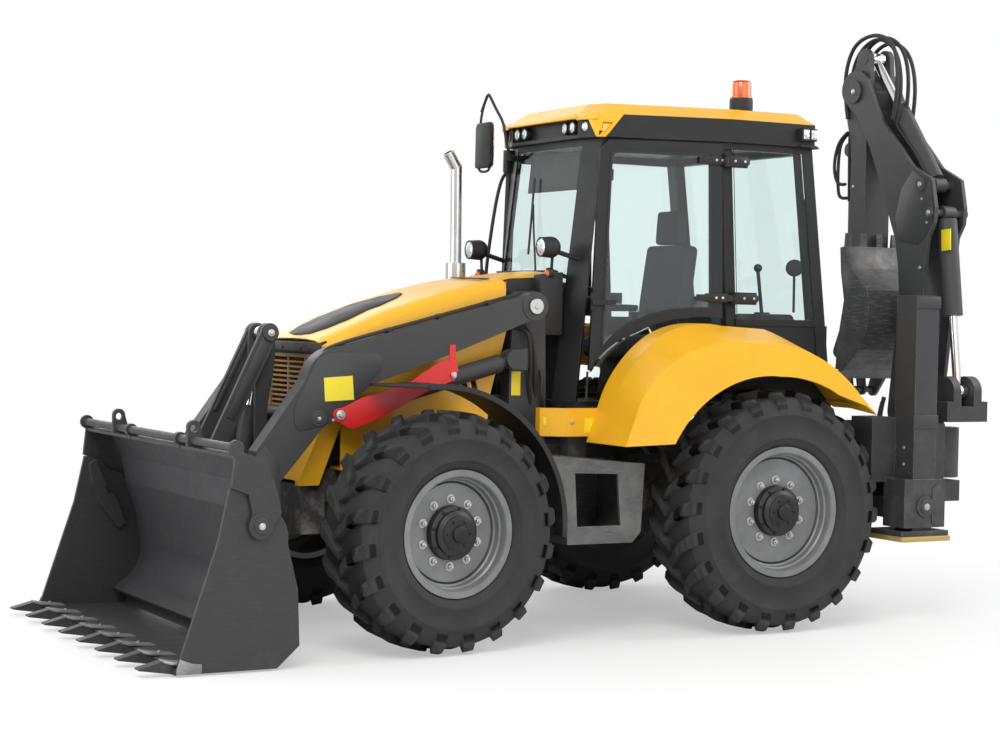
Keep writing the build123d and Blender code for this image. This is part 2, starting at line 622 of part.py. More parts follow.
def cab_glass():
    top = CAB_TOP - 40
    windscreen = lofted([(1036, -385, 1990), (1036, 385, 1990), (1028, 385, 1990), (1028, -385, 1990)],
                        [(945, -385, top), (945, 385, top), (937, 385, top), (937, -385, top)])
    side_pane = lofted([(-492, 728, 1815), (-492, 736, 1815), (66, 736, 1815), (66, 728, 1815)],
                       [(-374, 728, top), (-374, 736, top), (120, 736, top), (120, 728, top)])
    rear_pane = lofted([(-586, -640, 1700), (-586, 640, 1700), (-578, 640, 1700), (-578, -640, 1700)],
                       [(-446, -640, top), (-446, 640, top), (-438, 640, top), (-438, -640, top)])
    save("cab_glass", [windscreen, rear_pane, *both(side_pane, lower_panes())])


# ---------------------------------------------------------------- inside the cab
def seat():
    base = block((120, 480), (-180, 180), (CAB_FLOOR, 1560))
    cushion = block((60, 560), (-250, 250), (1560, 1700))
    back = plate_y([(60, 1700), (190, 1700), (110, 2260), (20, 2260)], -230, 230)
    head = plate_y([(30, 2260), (110, 2260), (90, 2480), (20, 2480)], -130, 130)
    rests = [block((120, 420), sorted((s * 262, s * 330)), (1850, 1890)) for s in (1, -1)]
    posts = [block((120, 180), sorted((s * 230, s * 300)), (1600, 1850)) for s in (1, -1)]
    return [fused(base, cushion, back, head, *rests, *posts)]


def controls():
    column = fused(rod((925, 0, CAB_FLOOR + 60), (800, 0, 1960), 60),
                   block((820, 995), (-170, 170), (CAB_FLOOR, 1820)))
    ring = Pos(785, 0, 2000) * Rot(0, -25, 0) * Torus(185, 15)
    spokes = [rod((798, 0, 1960), (785, s * 180, 2000), 12) for s in (1, -1)]
    pieces = [fused(column, ring, *spokes)]
    for side in (1, -1):
        box_piece = block((-500, -150), sorted((side * 330, side * 560)), (CAB_FLOOR, 1850))
        lever = rod((-330, side * 430, 1840), (-300, side * 420, 2120), 14)
        knob = Pos(-300, side * 420, 2130) * Sphere(30)
        pieces.append(fused(box_piece, lever, knob))
    return pieces


# ---------------------------------------------------------------- loader
def slotted_arm():
    outline = [(1354, 1941), (2549, 1627), ("arc", (2690, 1570), (2763, 1442)), (3040, 1062), (3045, 880),
               (3005, 330), ("arc", (2930, 255), (2855, 330)), (2920, 872), (2663, 1176), (2362, 1420),
               (1877, 1591), (1367, 1786)]
    arm = fused(plate_y(outline, ARM_IN, ARM_OUT), rod_y(TOWER_PIN, ARM_IN, ARM_OUT, 78))
    slot = block((2440, 2660), (494, 556), (1100, 1345))
    holes = [rod_y(TOWER_PIN, 400, 600, TOWER_PIN_R + FIT), rod_y(BUCKET_PIN, 400, 600, BUCKET_PIN_R + FIT)]
    return arm - [slot, *holes]


def loader_arms():
    arm = slotted_arm()
    upper = rod_y(ARM_TUBE, -ARM_IN - 5, ARM_IN + 5, 42)
    lower = rod_y((2930, 480), -ARM_IN - 5, ARM_IN + 5, 45)
    lever_ears = [plate_y([(2655, 1240), (2715, 1262), (2835, 1066), ("arc", (2838, 1018), (2800, 996)),
                               (2758, 1022)], y0, y1)
                  for y0, y1 in ((88, 112), (-112, -88))]
    tilt_ears = [plate_y([(2925, 590), ("arc", (2960, 640), (2997, 590)), (2970, 470), (2900, 470)], y0, y1)
                 for y0, y1 in ((52, 72), (-72, -52))]
    lever_pins = [rod_y(LEVER_FOOT, *sorted((side * 54, side * 112)), 28) for side in (1, -1)]
    tilt_pin = rod_y(TILT_BASE, -72, 72, 22)
    save("loader_arms", [fused(arm, mirrored(arm), upper, lower, *lever_ears, *tilt_ears, *lever_pins,
                               tilt_pin)])


def barrel(base, eye, length, radius, bore, plane, half, pin_radius, start=40):
    """Ram barrel: an eye on the base pin, then a tube along the line to the rod's eye."""
    at = (lambda p, w: (p[0], w, p[1])) if plane == "xz" else (lambda p, w: (SLEW[0] + w, p[0], p[1]))
    mid = half[0] + (half[1] - half[0]) / 2
    eye_ring = rod(at(base, half[0]), at(base, half[1]), pin_radius + 22)
    hole = rod(at(base, half[0] - 5), at(base, half[1] + 5), pin_radius + FIT)
    tube = rod(at(toward(base, eye, start), mid), at(toward(base, eye, length), mid), radius)
    inside = rod(at(toward(base, eye, start + 45), mid), at(toward(base, eye, length + 5), mid), bore)
    return fused(eye_ring, tube) - [hole, inside]


def piston_rod(base, eye, start, radius, plane, half, eye_radius):
    at = (lambda p, w: (p[0], w, p[1])) if plane == "xz" else (lambda p, w: (SLEW[0] + w, p[0], p[1]))
    mid = half[0] + (half[1] - half[0]) / 2
    stem = rod(at(toward(base, eye, start), mid), at(eye, mid), radius)
    eye_ring = rod(at(eye, half[0]), at(eye, half[1]), eye_radius)
    return fused(stem, eye_ring)


def lift_rams():
    half = (497, 553)
    tube = barrel(LIFT_BASE, LIFT_EYE, 690, LIFT_BARREL_R, LIFT_ROD_R + FIT, "xz", half, 22, 85)
    tube += rod((1470 + 34, 525, 1560 - 9), (1470 + 90, 525, 1560 - 25), 26)
    stem = piston_rod(LIFT_BASE, LIFT_EYE, 130, LIFT_ROD_R, "xz", half, 42)
    save("lift_barrels", both(tube))
    save("lift_rods", both(stem))


def safety_struts():
    lower = plate_y([(2605, 1254), ("arc", (2590, 1282), (2554, 1290)), (2440, 1344), (2324, 1376),
                     (2135, 1440),
                     (1969, 1543), (1879, 1571), (1847, 1501), (1870, 1446), (1924, 1424), (2062, 1371),
                     (2344, 1224), (2495, 1175), (2590, 1222)], 586, 598)
    hanger = plate_y([(1862, 1440), (1900, 1440), (1900, 1640), (1862, 1640)], ARM_OUT, 587)
    pins = [rod_y((1881, 1471), ARM_OUT, 606, 16), rod_y(LIFT_EYE, ARM_OUT, 606, 16)]
    save("safety_struts", both(fused(lower, hanger, *pins)))


def tilt_linkage():
    lever = plate_y([(2757, 1040), ("arc", (2800, 992), (2846, 1040)), (2850, 1300), (2835, 1690),
                     ("arc", (2783, 1740), (2731, 1690)), (2738, 1500), (2780, 1240)], 56, 80)
    foot_hole = rod_y(LEVER_FOOT, 0, 200, 28 + FIT)
    stub = rod_y(LEVER_TOP, 52, 136, 30)
    half_lever = fused(lever - foot_hole, stub)
    tie = block((2736, 2762), (-60, 60), (1440, 1490))
    save("tilt_lever", [fused(half_lever, mirrored(half_lever), tie)])
    side = plate_y([(2735, 1670), ("arc", (2790, 1740), (2832, 1700)), (3144, 1040),
                    ("arc", (3115, 972), (3056, 1003))],
                   96, 122)
    hole = rod_y(LEVER_TOP, 80, 140, 30 + FIT)
    strut = side - hole
    save("tilt_link", both(strut))
    half = (-44, 44)
    save("tilt_barrel", [barrel(TILT_BASE, LEVER_TOP, 690, TILT_BARREL_R, TILT_ROD_R + FIT, "xz", half, 22)])
    save("tilt_rod", [piston_rod(TILT_BASE, LEVER_TOP, 440, TILT_ROD_R, "xz", half, 38)])


def loader_bucket():
    """Back part of the clam bucket: curved blade, cheeks, top bar with lifting eyes, rear ears."""
    blade_outline = [(3250, 1066), (3187, 931), (3155, 790), ("arc", (3086, 590), (3052, 380)),
                     ("arc", (3062, 250), (3125, 160)), (3222, 108), (3236, 128), (3168, 188),
                     ("arc", (3098, 265), (3079, 420)), ("arc", (3112, 590), (3180, 770)), (3212, 925),
                     (3268, 1050)]
    notches = [block((3150, 3400), sorted((side * 1134, side * 1170)), (780, 1045)) for side in (1, -1)]
    blade = plate_y(blade_outline, -1168, 1168) - notches
    lip = plate_y([(3250, 1066), (3363, 1104), (3407, 1090), (3402, 1072), (3364, 1084), (3268, 1050)],
                  -BUCKET_HALF, BUCKET_HALF)
    bar = rod_y((3402, 1126), -BUCKET_HALF, BUCKET_HALF, 22)
    bar_ends = [rod_y((3402, 1126), y0, y1, 40) for y0, y1 in ((1198, 1220), (-1220, -1198))]
    props = [plate_y([(3364, 1084), (3405, 1072), (3425, 1126), (3380, 1140)], y - 12, y + 12)
             for y in (-1209, -400, 400, 1209)]
    cheeks, pins = [], []
    for side in (1, -1):
        ys = sorted((side * 1199, side * BUCKET_HALF))
        cheeks.append(plate_y([(3187, 931), (3250, 1066), (3363, 1104), (3407, 1090), (3424, 930),
                               (3335, 895),
                               (3312, 800), (3330, 720), ("arc", (3266, 665), (3196, 735)), (3155, 800)],
                               *ys))
        pins.append(rod_y(CLAM_PIN, *sorted((side * 1174, side * 1228)), 34))
    ears = []
    for y0, y1 in ((436, 462), (588, 614), (-462, -436), (-614, -588)):
        ears.append(plate_y([(3066, 470), (3056, 250), (2930, 270), ("arc", (2870, 330), (2930, 392))],
                            y0, y1))
    hinge_pins = [rod_y(BUCKET_PIN, *sorted((s * 436, s * 614)), BUCKET_PIN_R) for s in (1, -1)]
    link_ears = [plate_y([(3068, 1020), ("arc", (3100, 1055), (3132, 1045)), (3232, 1040), (3170, 840),
                          (3150, 850)],
                         y0, y1) for y0, y1 in ((62, 88), (-88, -62))]
    eye_plates = []
    for y in (-610, 610):
        plate = plate_y([(3340, 1096), (3370, 1196), ("arc", (3405, 1233), (3440, 1196)), (3440, 1096)],
                        y - 14, y + 14)
        eye_plates.append(plate - rod_y((3405, 1190), y - 20, y + 20, 20))
    body = fused(blade, lip, bar, *bar_ends, *props, *cheeks, *pins, *ears, *hinge_pins, *link_ears,
                 *eye_plates)
    save("loader_bucket", [body])


CLAM_GUARD = [(3361, 905), (3400, 880), (3385, 760), (3330, 640), (3215, 490), (3172, 520), (3230, 660),
              (3320, 800)]


def bucket_clam():
    """Front part of the clam bucket: two sides, floor, cutting edge and teeth."""
    side_outline = [(3424, 925), (3483, 653), (3665, 102), (3688, 36), (3688, 12), (3159, 12), (3038, 121),
                    (3051, 404), (3110, 640), ("arc", (3190, 812), (3266, 835)), (3330, 905)]
    sides = []
    for side in (1, -1):
        plate = plate_y(side_outline, *sorted((side * 1174, side * 1196)))
        guard = plate_y(CLAM_GUARD, *sorted((side * 1140, side * 1180)))
        sides.append(fused(plate, guard) - rod_y(CLAM_PIN, *sorted((side * 1100, side * 1300)), 34 + FIT))
    floor = plate_y([(3159, 12), (LIP_X, 12), (LIP_X, 40), (3168, 36), (3062, 132), (3038, 121)], -1196, 1196)
    teeth = []
    for k in range(8):
        y = -1120 + 320 * k
        teeth.append(plate_y([(LIP_X - 100, 41), (LIP_X, 70), (LIP_X + 40, 78), (FRONT_REACH, 46),
                              (FRONT_REACH, 38), (LIP_X, 12), (LIP_X - 100, 12)], y - 34, y + 34))
    save("bucket_clam", [fused(*sides, floor, *teeth)])


# ---------------------------------------------------------------- backhoe
def stabilisers():
    outer = block(TUBE_X, TUBE_Y, (600, 1975))
    casting = block((-1170, -860), (985, 1182), (585, 875))
    ear = plate_x([(870, 900), (950, 870), (950, 1010), (870, 980)], -1040, -1010)
    ear -= rod_x((908, 940), -1050, -1000, 18)
    cavity = block((TUBE_X[0] + TUBE_WALL, TUBE_X[1] - TUBE_WALL),
                   (TUBE_Y[0] + TUBE_WALL, TUBE_Y[1] - TUBE_WALL),
                   (500, 1975 - TUBE_WALL))
    housing = fused(outer, casting, ear) - cavity
    inset = TUBE_WALL + FIT
    leg = block((TUBE_X[0] + inset, TUBE_X[1] - inset), (TUBE_Y[0] + inset, TUBE_Y[1] - inset), (560, 1890))
    pad = block((-1195, -835), (900, 1190), (515, 565))
    shape = fused(leg, pad)
    save("stabiliser_leg_left", [shape])
    save("stabiliser_leg_right", [mirrored(shape)])
    return both(housing)


BEAM_TOP, BEAM_LOW = (1080, 1180), (640, 740)


def rear_frame():
    back = block((-960, FRAME_X[1]), (-RAIL_OUT, RAIL_OUT), (560, 1180))
    beams = [block((FRAME_X[0], -960), (-TUBE_Y[0], TUBE_Y[0]), z) for z in (BEAM_TOP, BEAM_LOW)]
    webs = [block((-1000, -960), sorted((s * 150, s * 345)), (740, 1080)) for s in (1, -1)]
    ends = [block((-1090, -960), sorted((s * 945, s * TUBE_Y[0])), (740, 1080)) for s in (1, -1)]
    locker = block((-930, -750), (800, 1000), (850, 1240))
    shelf = block((-960, -930), (800, 985), (1080, 1180))
    save("rear_frame", [fused(back, *beams, *webs, *ends, shelf, *stabilisers()), locker])


def carriage():
    y0, y1 = SLEW[1] - 250, SLEW[1] + 250
    slab = block((-1340, FRAME_X[0] - FIT), (y0, y1), (620, 1195))
    relief = block((-1300, FRAME_X[0] + 10), (y0 + 40, y1 - 40), (760, 1060))
    hook_top = block((-1110, -965), (y0, y1), (BEAM_TOP[1] + FIT, 1195))
    hook_low = block((-1110, -965), (y0, y1), (620, BEAM_LOW[0] - FIT))
    neck = block((SLEW[0], -1330), (SLEW[1] - 90, SLEW[1] + 90), (850, 1160))
    drum = rod((*SLEW, 850), (*SLEW, 1160), 130)
    bore = rod((*SLEW, 800), (*SLEW, 1200), 38 + FIT)
    save("carriage", [fused(slab - relief, hook_top, hook_low, neck, drum) - bore])


def across(v0, v1):
    return (SLEW[0] + v0, SLEW[0] + v1)


def kingpost():
    sy = SLEW[1]
    wide = block(across(-160, 160), (sy - 90, sy + 270), (1205, 1330))
    narrow = block(across(-100, 100), (sy - 300, sy), (1165, 1330))
    web = block(across(-100, 100), (sy - 300, sy - 160), (700, 1330))
    low = block(across(-100, 100), (sy - 300, sy + 100), (700, 830))
    pin = rod((*SLEW, 705), (*SLEW, 1325), 38)
    ears = []
    for v0, v1 in ((52, 112), (-112, -52)):
        ears.append(plate_x([(sy + 70, 1330), (sy + 270, 1330), (990, 1390),
                             ("arc", (895, 1485), (800, 1390))],
                            *across(v0, v1)))
    narrow -= block(across(-120, 120), (sy - 60, sy + 10), (1160, 1204))
    wide -= block(across(-50, 50), (sy + 50, sy + 280), (1300, 1340))
    hole = rod_x(BOOM_FOOT, *across(-200, 200), 32 + FIT)
    save("kingpost", [fused(wide, narrow, web, low, pin, *ears) - hole])


BOOM_EDGE = [(380, 1250), ("arc", (500, 1130), (620, 1250)), (645, 1500), (700, 1980), (703, 2137),
             (733, 2349),
             (786, 2435), (794, 2534), (755, 2712), (570, 2800), (441, 2930), (257, 3105), (105, 3365),
             ("arc", (15, 3450), (-120, 3420)), ("arc", (-165, 3330), (-131, 3260)), (22, 3130), (134, 2949),
             (230, 2761), (415, 2341), (447, 2184), (468, 1980)]
BOOM_CORE = [(440, 1480), (560, 1480), (620, 1980), (560, 2400), (420, 2720), (300, 2900), (175, 3025),
             (122, 3040),
             (150, 2965), (240, 2775), (428, 2350), (460, 2184), (480, 1980)]


def boom():
    plates = [plate_x(BOOM_EDGE, *across(v0, v1))
              for v0, v1 in ((BOOM_HALF - BOOM_PLATE, BOOM_HALF), (-BOOM_HALF, BOOM_PLATE - BOOM_HALF))]
    core = plate_x(BOOM_CORE, *across(BOOM_PLATE - BOOM_HALF - 1, BOOM_HALF - BOOM_PLATE + 1))
    pins = [rod_x(at, *across(-BOOM_HALF - 8, BOOM_HALF + 8), r)
            for at, r in ((BOOM_FOOT, 32), (BOOM_TIP, 34), (BOOM_RAM_PIN, 24), (DIPPER_RAM_PIN, 24))]
    save("boom", [fused(*plates, core, *pins)])


def dipper():
    shell = plate_x([(-154, 3190), (-90, 2950), (-95, 1960), (-103, 1860), ("arc", (-96, 1795), (-50, 1770)),
                     (-62, 1600), ("arc", (0, 1532), (65, 1600)), (65, 3200), (100, 3320), (80, 3540),
                     ("arc", (20, 3595), (-45, 3540)), (-130, 3330)], *across(-DIPPER_HALF, DIPPER_HALF))
    fork = plate_x([(-150, 3405), (20, 3405), (60, 3340), (140, 3270), (140, 3640), (-150, 3640)],
                   *across(-66, 66))
    holes = [rod_x(BOOM_TIP, *across(-150, 150), 34 + FIT)]
    body = shell - [fork, *holes]
    pins = [rod_x(HOE_LEVER_PIN, *across(-126, 126), 22), rod_x(HOE_PIN, *across(-156, 156), 26)]
    ram_ears = [plate_x([(-90, 2900), (-92, 3020), (-170, 2995), ("arc", (-212, 2950), (-170, 2905))],
                        *across(v0, v1))
                for v0, v1 in ((42, 62), (-62, -42))]
    ram_pin = rod_x(HOE_RAM_PIN, *across(-62, 62), 20)
    save("dipper", [fused(body, *pins, *ram_ears, ram_pin)])


def backhoe_rams():
    half = (-45, 45)
    save("boom_barrel", [barrel(BOOM_RAM_PIN, BOOM_RAM_FOOT, 645, 62, 27 + FIT, "yz", half, 24)])
    save("boom_rod", [piston_rod(BOOM_RAM_PIN, BOOM_RAM_FOOT, 90, 27, "yz", half, 46)])
    save("dipper_barrel", [barrel(DIPPER_RAM_PIN, DIPPER_TAIL, 640, 58, 30 + FIT, "yz", half, 24)])
    save("dipper_rod", [piston_rod(DIPPER_RAM_PIN, DIPPER_TAIL, 480, 30, "yz", half, 42)])
    half = (-30, 30)
    save("hoe_barrel", [barrel(HOE_RAM_PIN, HOE_LEVER_TOP, 800, 42, 24 + FIT, "yz", half, 20)])
    save("hoe_rod", [piston_rod(HOE_RAM_PIN, HOE_LEVER_TOP, 620, 24, "yz", half, 34)])


def hoe_linkage():
    def strip(a, b, radius, v0, v1):
        (ay, az), (by, bz) = a, b
        length = math.dist(a, b)
        ny, nz = (az - bz) / length * radius, (by - ay) / length * radius
        bar = plate_x([(ay + ny, az + nz), (ay - ny, az - nz), (by - ny, bz - nz), (by + ny, bz + nz)],
                      *across(v0, v1))
        return fused(bar, rod_x(a, *across(v0, v1), radius), rod_x(b, *across(v0, v1), radius))

    lever, link = [], []
    for v0, v1 in ((105, 125), (-125, -105)):
        plate = strip(HOE_LEVER_PIN, HOE_LEVER_TOP, 40, v0, v1)
        lever.append(plate - rod_x(HOE_LEVER_PIN, *across(-200, 200), 22 + FIT))
    for v0, v1 in ((36, 125), (-125, -36)):
        lever.append(rod_x(HOE_LEVER_TOP, *across(v0, v1), 22))
    save("hoe_lever", [fused(lever[0], lever[2]), fused(lever[1], lever[3])])
    for v0, v1 in ((42, 62), (-62, -42)):
        plate = strip(HOE_LEVER_TOP, HOE_EAR, 38, v0, v1)
        link.append(plate - [rod_x(at, *across(-200, 200), 22 + FIT) for at in (HOE_LEVER_TOP, HOE_EAR)])
    save("hoe_link", link)


def hoe_bucket():
    shell = [(72, 2284), (105, 2300), (176, 2157), (344, 2015), ("arc", (362, 1870), (335, 1728)),
             (278, 1631),
             (120, 1500), (10, 1440), (4, 1456), (112, 1514), (266, 1640), ("arc", (342, 1872), (326, 2006)),
             (164, 2146), (92, 2280)]
    side = [(62, 2290), (105, 2300), (176, 2157), (344, 2015), ("arc", (362, 1870), (335, 1728)), (278, 1631),
            (120, 1500), (40, 1500), (50, 1658), (112, 1951), (74, 2133)]
    wrap = plate_x(shell, *across(-HOE_HALF, HOE_HALF))
    cheeks = [plate_x(side, *across(v0, v1)) for v0,
              v1 in ((HOE_HALF - 20, HOE_HALF), (-HOE_HALF, 20 - HOE_HALF))]
    ears = []
    for v0, v1 in ((132, 156), (-156, -132)):
        plate = plate_x([(120, 1505), (190, 1566), (40, 1650), ("arc", (-45, 1650), (-62, 1590)),
                         (-152, 1372),
                         ("arc", (-120, 1322), (-70, 1340)), (10, 1440)], *across(v0, v1))
        ears.append(plate - rod_x(HOE_PIN, *across(-300, 300), 26 + FIT))
    pin = rod_x(HOE_EAR, *across(-156, 156), 22)
    teeth = [plate_x([(76, 2270), (104, 2270), (96, 2385), (86, 2385)], *across(v - 22, v + 22))
             for v in (-250, -125, 0, 125, 250)]
    save("hoe_bucket", [fused(wrap, *cheeks, *ears, pin, *teeth)])


def main():
    os.makedirs("parts", exist_ok=True)
    wheels()
    save("axles", [rear_axle(), front_axle()])
    knuckles()
    driveline()
    chassis()
    hood()
    save("engine_panels", [*side_panels(), nose_guard()])
    grille()
    exhaust()
    mudguards()
    fenders()
    sills()
    steps()
    tower()
    cab_frame()
    roof()
    lamps()
    mirror_and_bar()
    doors()
    cab_glass()
    save("cab_interior", [*seat(), *controls()])
    loader_arms()
    lift_rams()
    safety_struts()
    tilt_linkage()
    loader_bucket()
    bucket_clam()
    rear_frame()
    carriage()
    kingpost()
    boom()
    dipper()
    backhoe_rams()
    hoe_linkage()
    hoe_bucket()


main()
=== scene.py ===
# %% [markdown]
# This scene dresses a packed backhoe loader. The frame holds every rigid part at its true place,
# so the script adds what a CAD kernel is poor at: paint, rubber, glass, tread, bolts and pipes.

# %% Load the frame
import math

import bmesh
import bpy
from mathutils import Matrix, Vector


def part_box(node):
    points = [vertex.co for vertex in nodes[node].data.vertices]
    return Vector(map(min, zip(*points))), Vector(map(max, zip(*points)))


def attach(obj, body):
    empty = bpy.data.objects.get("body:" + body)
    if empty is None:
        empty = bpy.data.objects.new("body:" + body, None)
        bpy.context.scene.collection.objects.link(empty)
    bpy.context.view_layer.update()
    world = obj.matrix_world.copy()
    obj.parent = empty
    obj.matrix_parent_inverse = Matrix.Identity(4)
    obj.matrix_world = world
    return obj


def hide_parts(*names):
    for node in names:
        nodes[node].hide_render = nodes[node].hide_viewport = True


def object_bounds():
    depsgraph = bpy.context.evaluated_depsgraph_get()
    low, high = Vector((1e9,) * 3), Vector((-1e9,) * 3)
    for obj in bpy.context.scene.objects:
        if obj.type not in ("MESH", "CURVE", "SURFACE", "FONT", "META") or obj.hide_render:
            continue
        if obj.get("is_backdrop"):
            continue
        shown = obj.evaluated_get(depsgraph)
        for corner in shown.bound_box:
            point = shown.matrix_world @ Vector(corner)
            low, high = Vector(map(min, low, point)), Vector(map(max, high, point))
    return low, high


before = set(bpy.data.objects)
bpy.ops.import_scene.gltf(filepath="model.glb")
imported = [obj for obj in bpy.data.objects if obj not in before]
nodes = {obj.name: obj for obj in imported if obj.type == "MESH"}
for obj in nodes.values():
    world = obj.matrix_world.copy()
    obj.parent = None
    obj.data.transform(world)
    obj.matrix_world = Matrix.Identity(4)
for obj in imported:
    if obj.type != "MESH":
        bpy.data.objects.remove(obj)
cad_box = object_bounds()

# %% [markdown]
# A vehicle is drawn from its rear axle. spot() takes millimetres ahead of that axle, to the left
# and above the ground, as a workshop drawing gives them, and returns metres in the frame.

# %% Places on the machine
rim_low, rim_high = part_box("rim_rear_left")
REAR_AXLE_X = (rim_low[0] + rim_high[0]) / 2
MM = 0.001


def spot(x, y, z):
    return Vector((REAR_AXLE_X + x * MM, y * MM, z * MM))


print("rear axle at", round(REAR_AXLE_X, 4))

# %% [markdown]
# The studio is plain: a pale floor that keeps the shadow, and a white surround that shows to the
# camera and in reflections but adds little light itself. The lens is long, so shapes stay true.

# %% Camera
LENS = 74.43
EYE = spot(7175.4, 10793.9, 1808.8)
RIGHT = Vector((-0.87693698, 0.48021646, 0.01933067))
UP = Vector((0.00307566, -0.03461322, 0.99939605))
BACK = Vector((0.48059553, 0.87646681, 0.02887663))


def placed(name, data):
    """Put a mesh, a curve, a lamp or a camera into the scene as an object at the origin."""
    thing = bpy.data.objects.new(name, data)
    bpy.context.collection.objects.link(thing)
    return thing


camera_data = bpy.data.cameras.new("camera")
camera_data.lens = LENS
camera_data.sensor_width = 36.0
camera_data.clip_end = 200.0
camera = placed("camera", camera_data)
camera.matrix_world = Matrix.Translation(EYE) @ Matrix((RIGHT, UP, BACK)).transposed().to_4x4()
bpy.context.scene.camera = camera
print("camera at", [round(value, 2) for value in EYE])

# %% [markdown]
# Five soft lamps stand round the machine: the key ahead and to its left, a fill straight ahead,
# one behind, and one on each side. A sun lamp would be simpler, but wide area lamps give the soft
# shadow edges of a studio and long reflections in paint.

# %% Lights
MIDDLE = Vector((0.2, 0.0, 1.2))
LAMPS = [
    # name, place, watts, size, colour
    ("key", (4.5, 6.0, 7.5), 560.0, 5.0, (1.0, 0.98, 0.95)),
    ("fill", (7.5, -1.0, 4.0), 260.0, 6.0, (0.95, 0.98, 1.0)),
    ("back", (-6.5, 3.0, 5.5), 300.0, 5.0, (1.0, 1.0, 1.0)),
    ("side", (-1.0, 9.0, 3.0), 150.0, 6.0, (1.0, 1.0, 1.0)),
    ("far", (1.0, -8.0, 6.0), 220.0, 6.0, (1.0, 1.0, 1.0)),
]
for name, place, watts, size, colour in LAMPS:
    lamp = bpy.data.lights.new(name, "AREA")
    lamp.energy = watts
    lamp.size = size
    lamp.color = colour
    lamp_object = placed(name, lamp)
    lamp_object.location = place
    aim = MIDDLE - Vector(place)
    lamp_object.rotation_euler = aim.to_track_quat("-Z", "Y").to_euler()
bpy.context.scene.view_settings.view_transform = "Standard"
print("lamps:", len(LAMPS))

# %% [markdown]
# The surround is white to the camera, through glass and in reflections. All other rays find a
# dimmer, slightly blue one. A plain white world would be simpler, but it would light the machine
# from all sides and wash out its shadows.

# %% Surround
world = bpy.data.worlds.new("studio")
bpy.context.scene.world = world
world.use_nodes = True
tree = world.node_tree
tree.nodes.clear()
soft, white = tree.nodes.new("ShaderNodeBackground"), tree.nodes.new("ShaderNodeBackground")
soft.inputs["Color"].default_value = (0.93, 0.96, 1.0, 1)
soft.inputs["Strength"].default_value = 0.32
white.inputs["Color"].default_value = (1, 1, 1, 1)
seen = tree.nodes.new("ShaderNodeLightPath")
either, also = tree.nodes.new("ShaderNodeMath"), tree.nodes.new("ShaderNodeMath")
either.operation = also.operation = "MAXIMUM"
pick = tree.nodes.new("ShaderNodeMixShader")
surround = tree.nodes.new("ShaderNodeOutputWorld")
for out, to in ((seen.outputs["Is Camera Ray"], either.inputs[0]),
                (seen.outputs["Is Transmission Ray"], either.inputs[1]),
                (either.outputs[0], also.inputs[0]), (seen.outputs["Is Glossy Ray"], also.inputs[1]),
                (also.outputs[0], pick.inputs[0]), (soft.outputs[0], pick.inputs[1]),
                (white.outputs[0], pick.inputs[2]), (pick.outputs[0], surround.inputs["Surface"])):
    tree.links.new(out, to)
print("surround links:", len(tree.links))

# %% [markdown]
# Each finish is a small node tree: a base colour that varies a little, a layer of dust that
# settles low down, worn spots at edges, and fine unevenness in gloss and height. The same few
# steps build them all, so that neighbouring parts look as if they have had the same life.

# %% Finishes


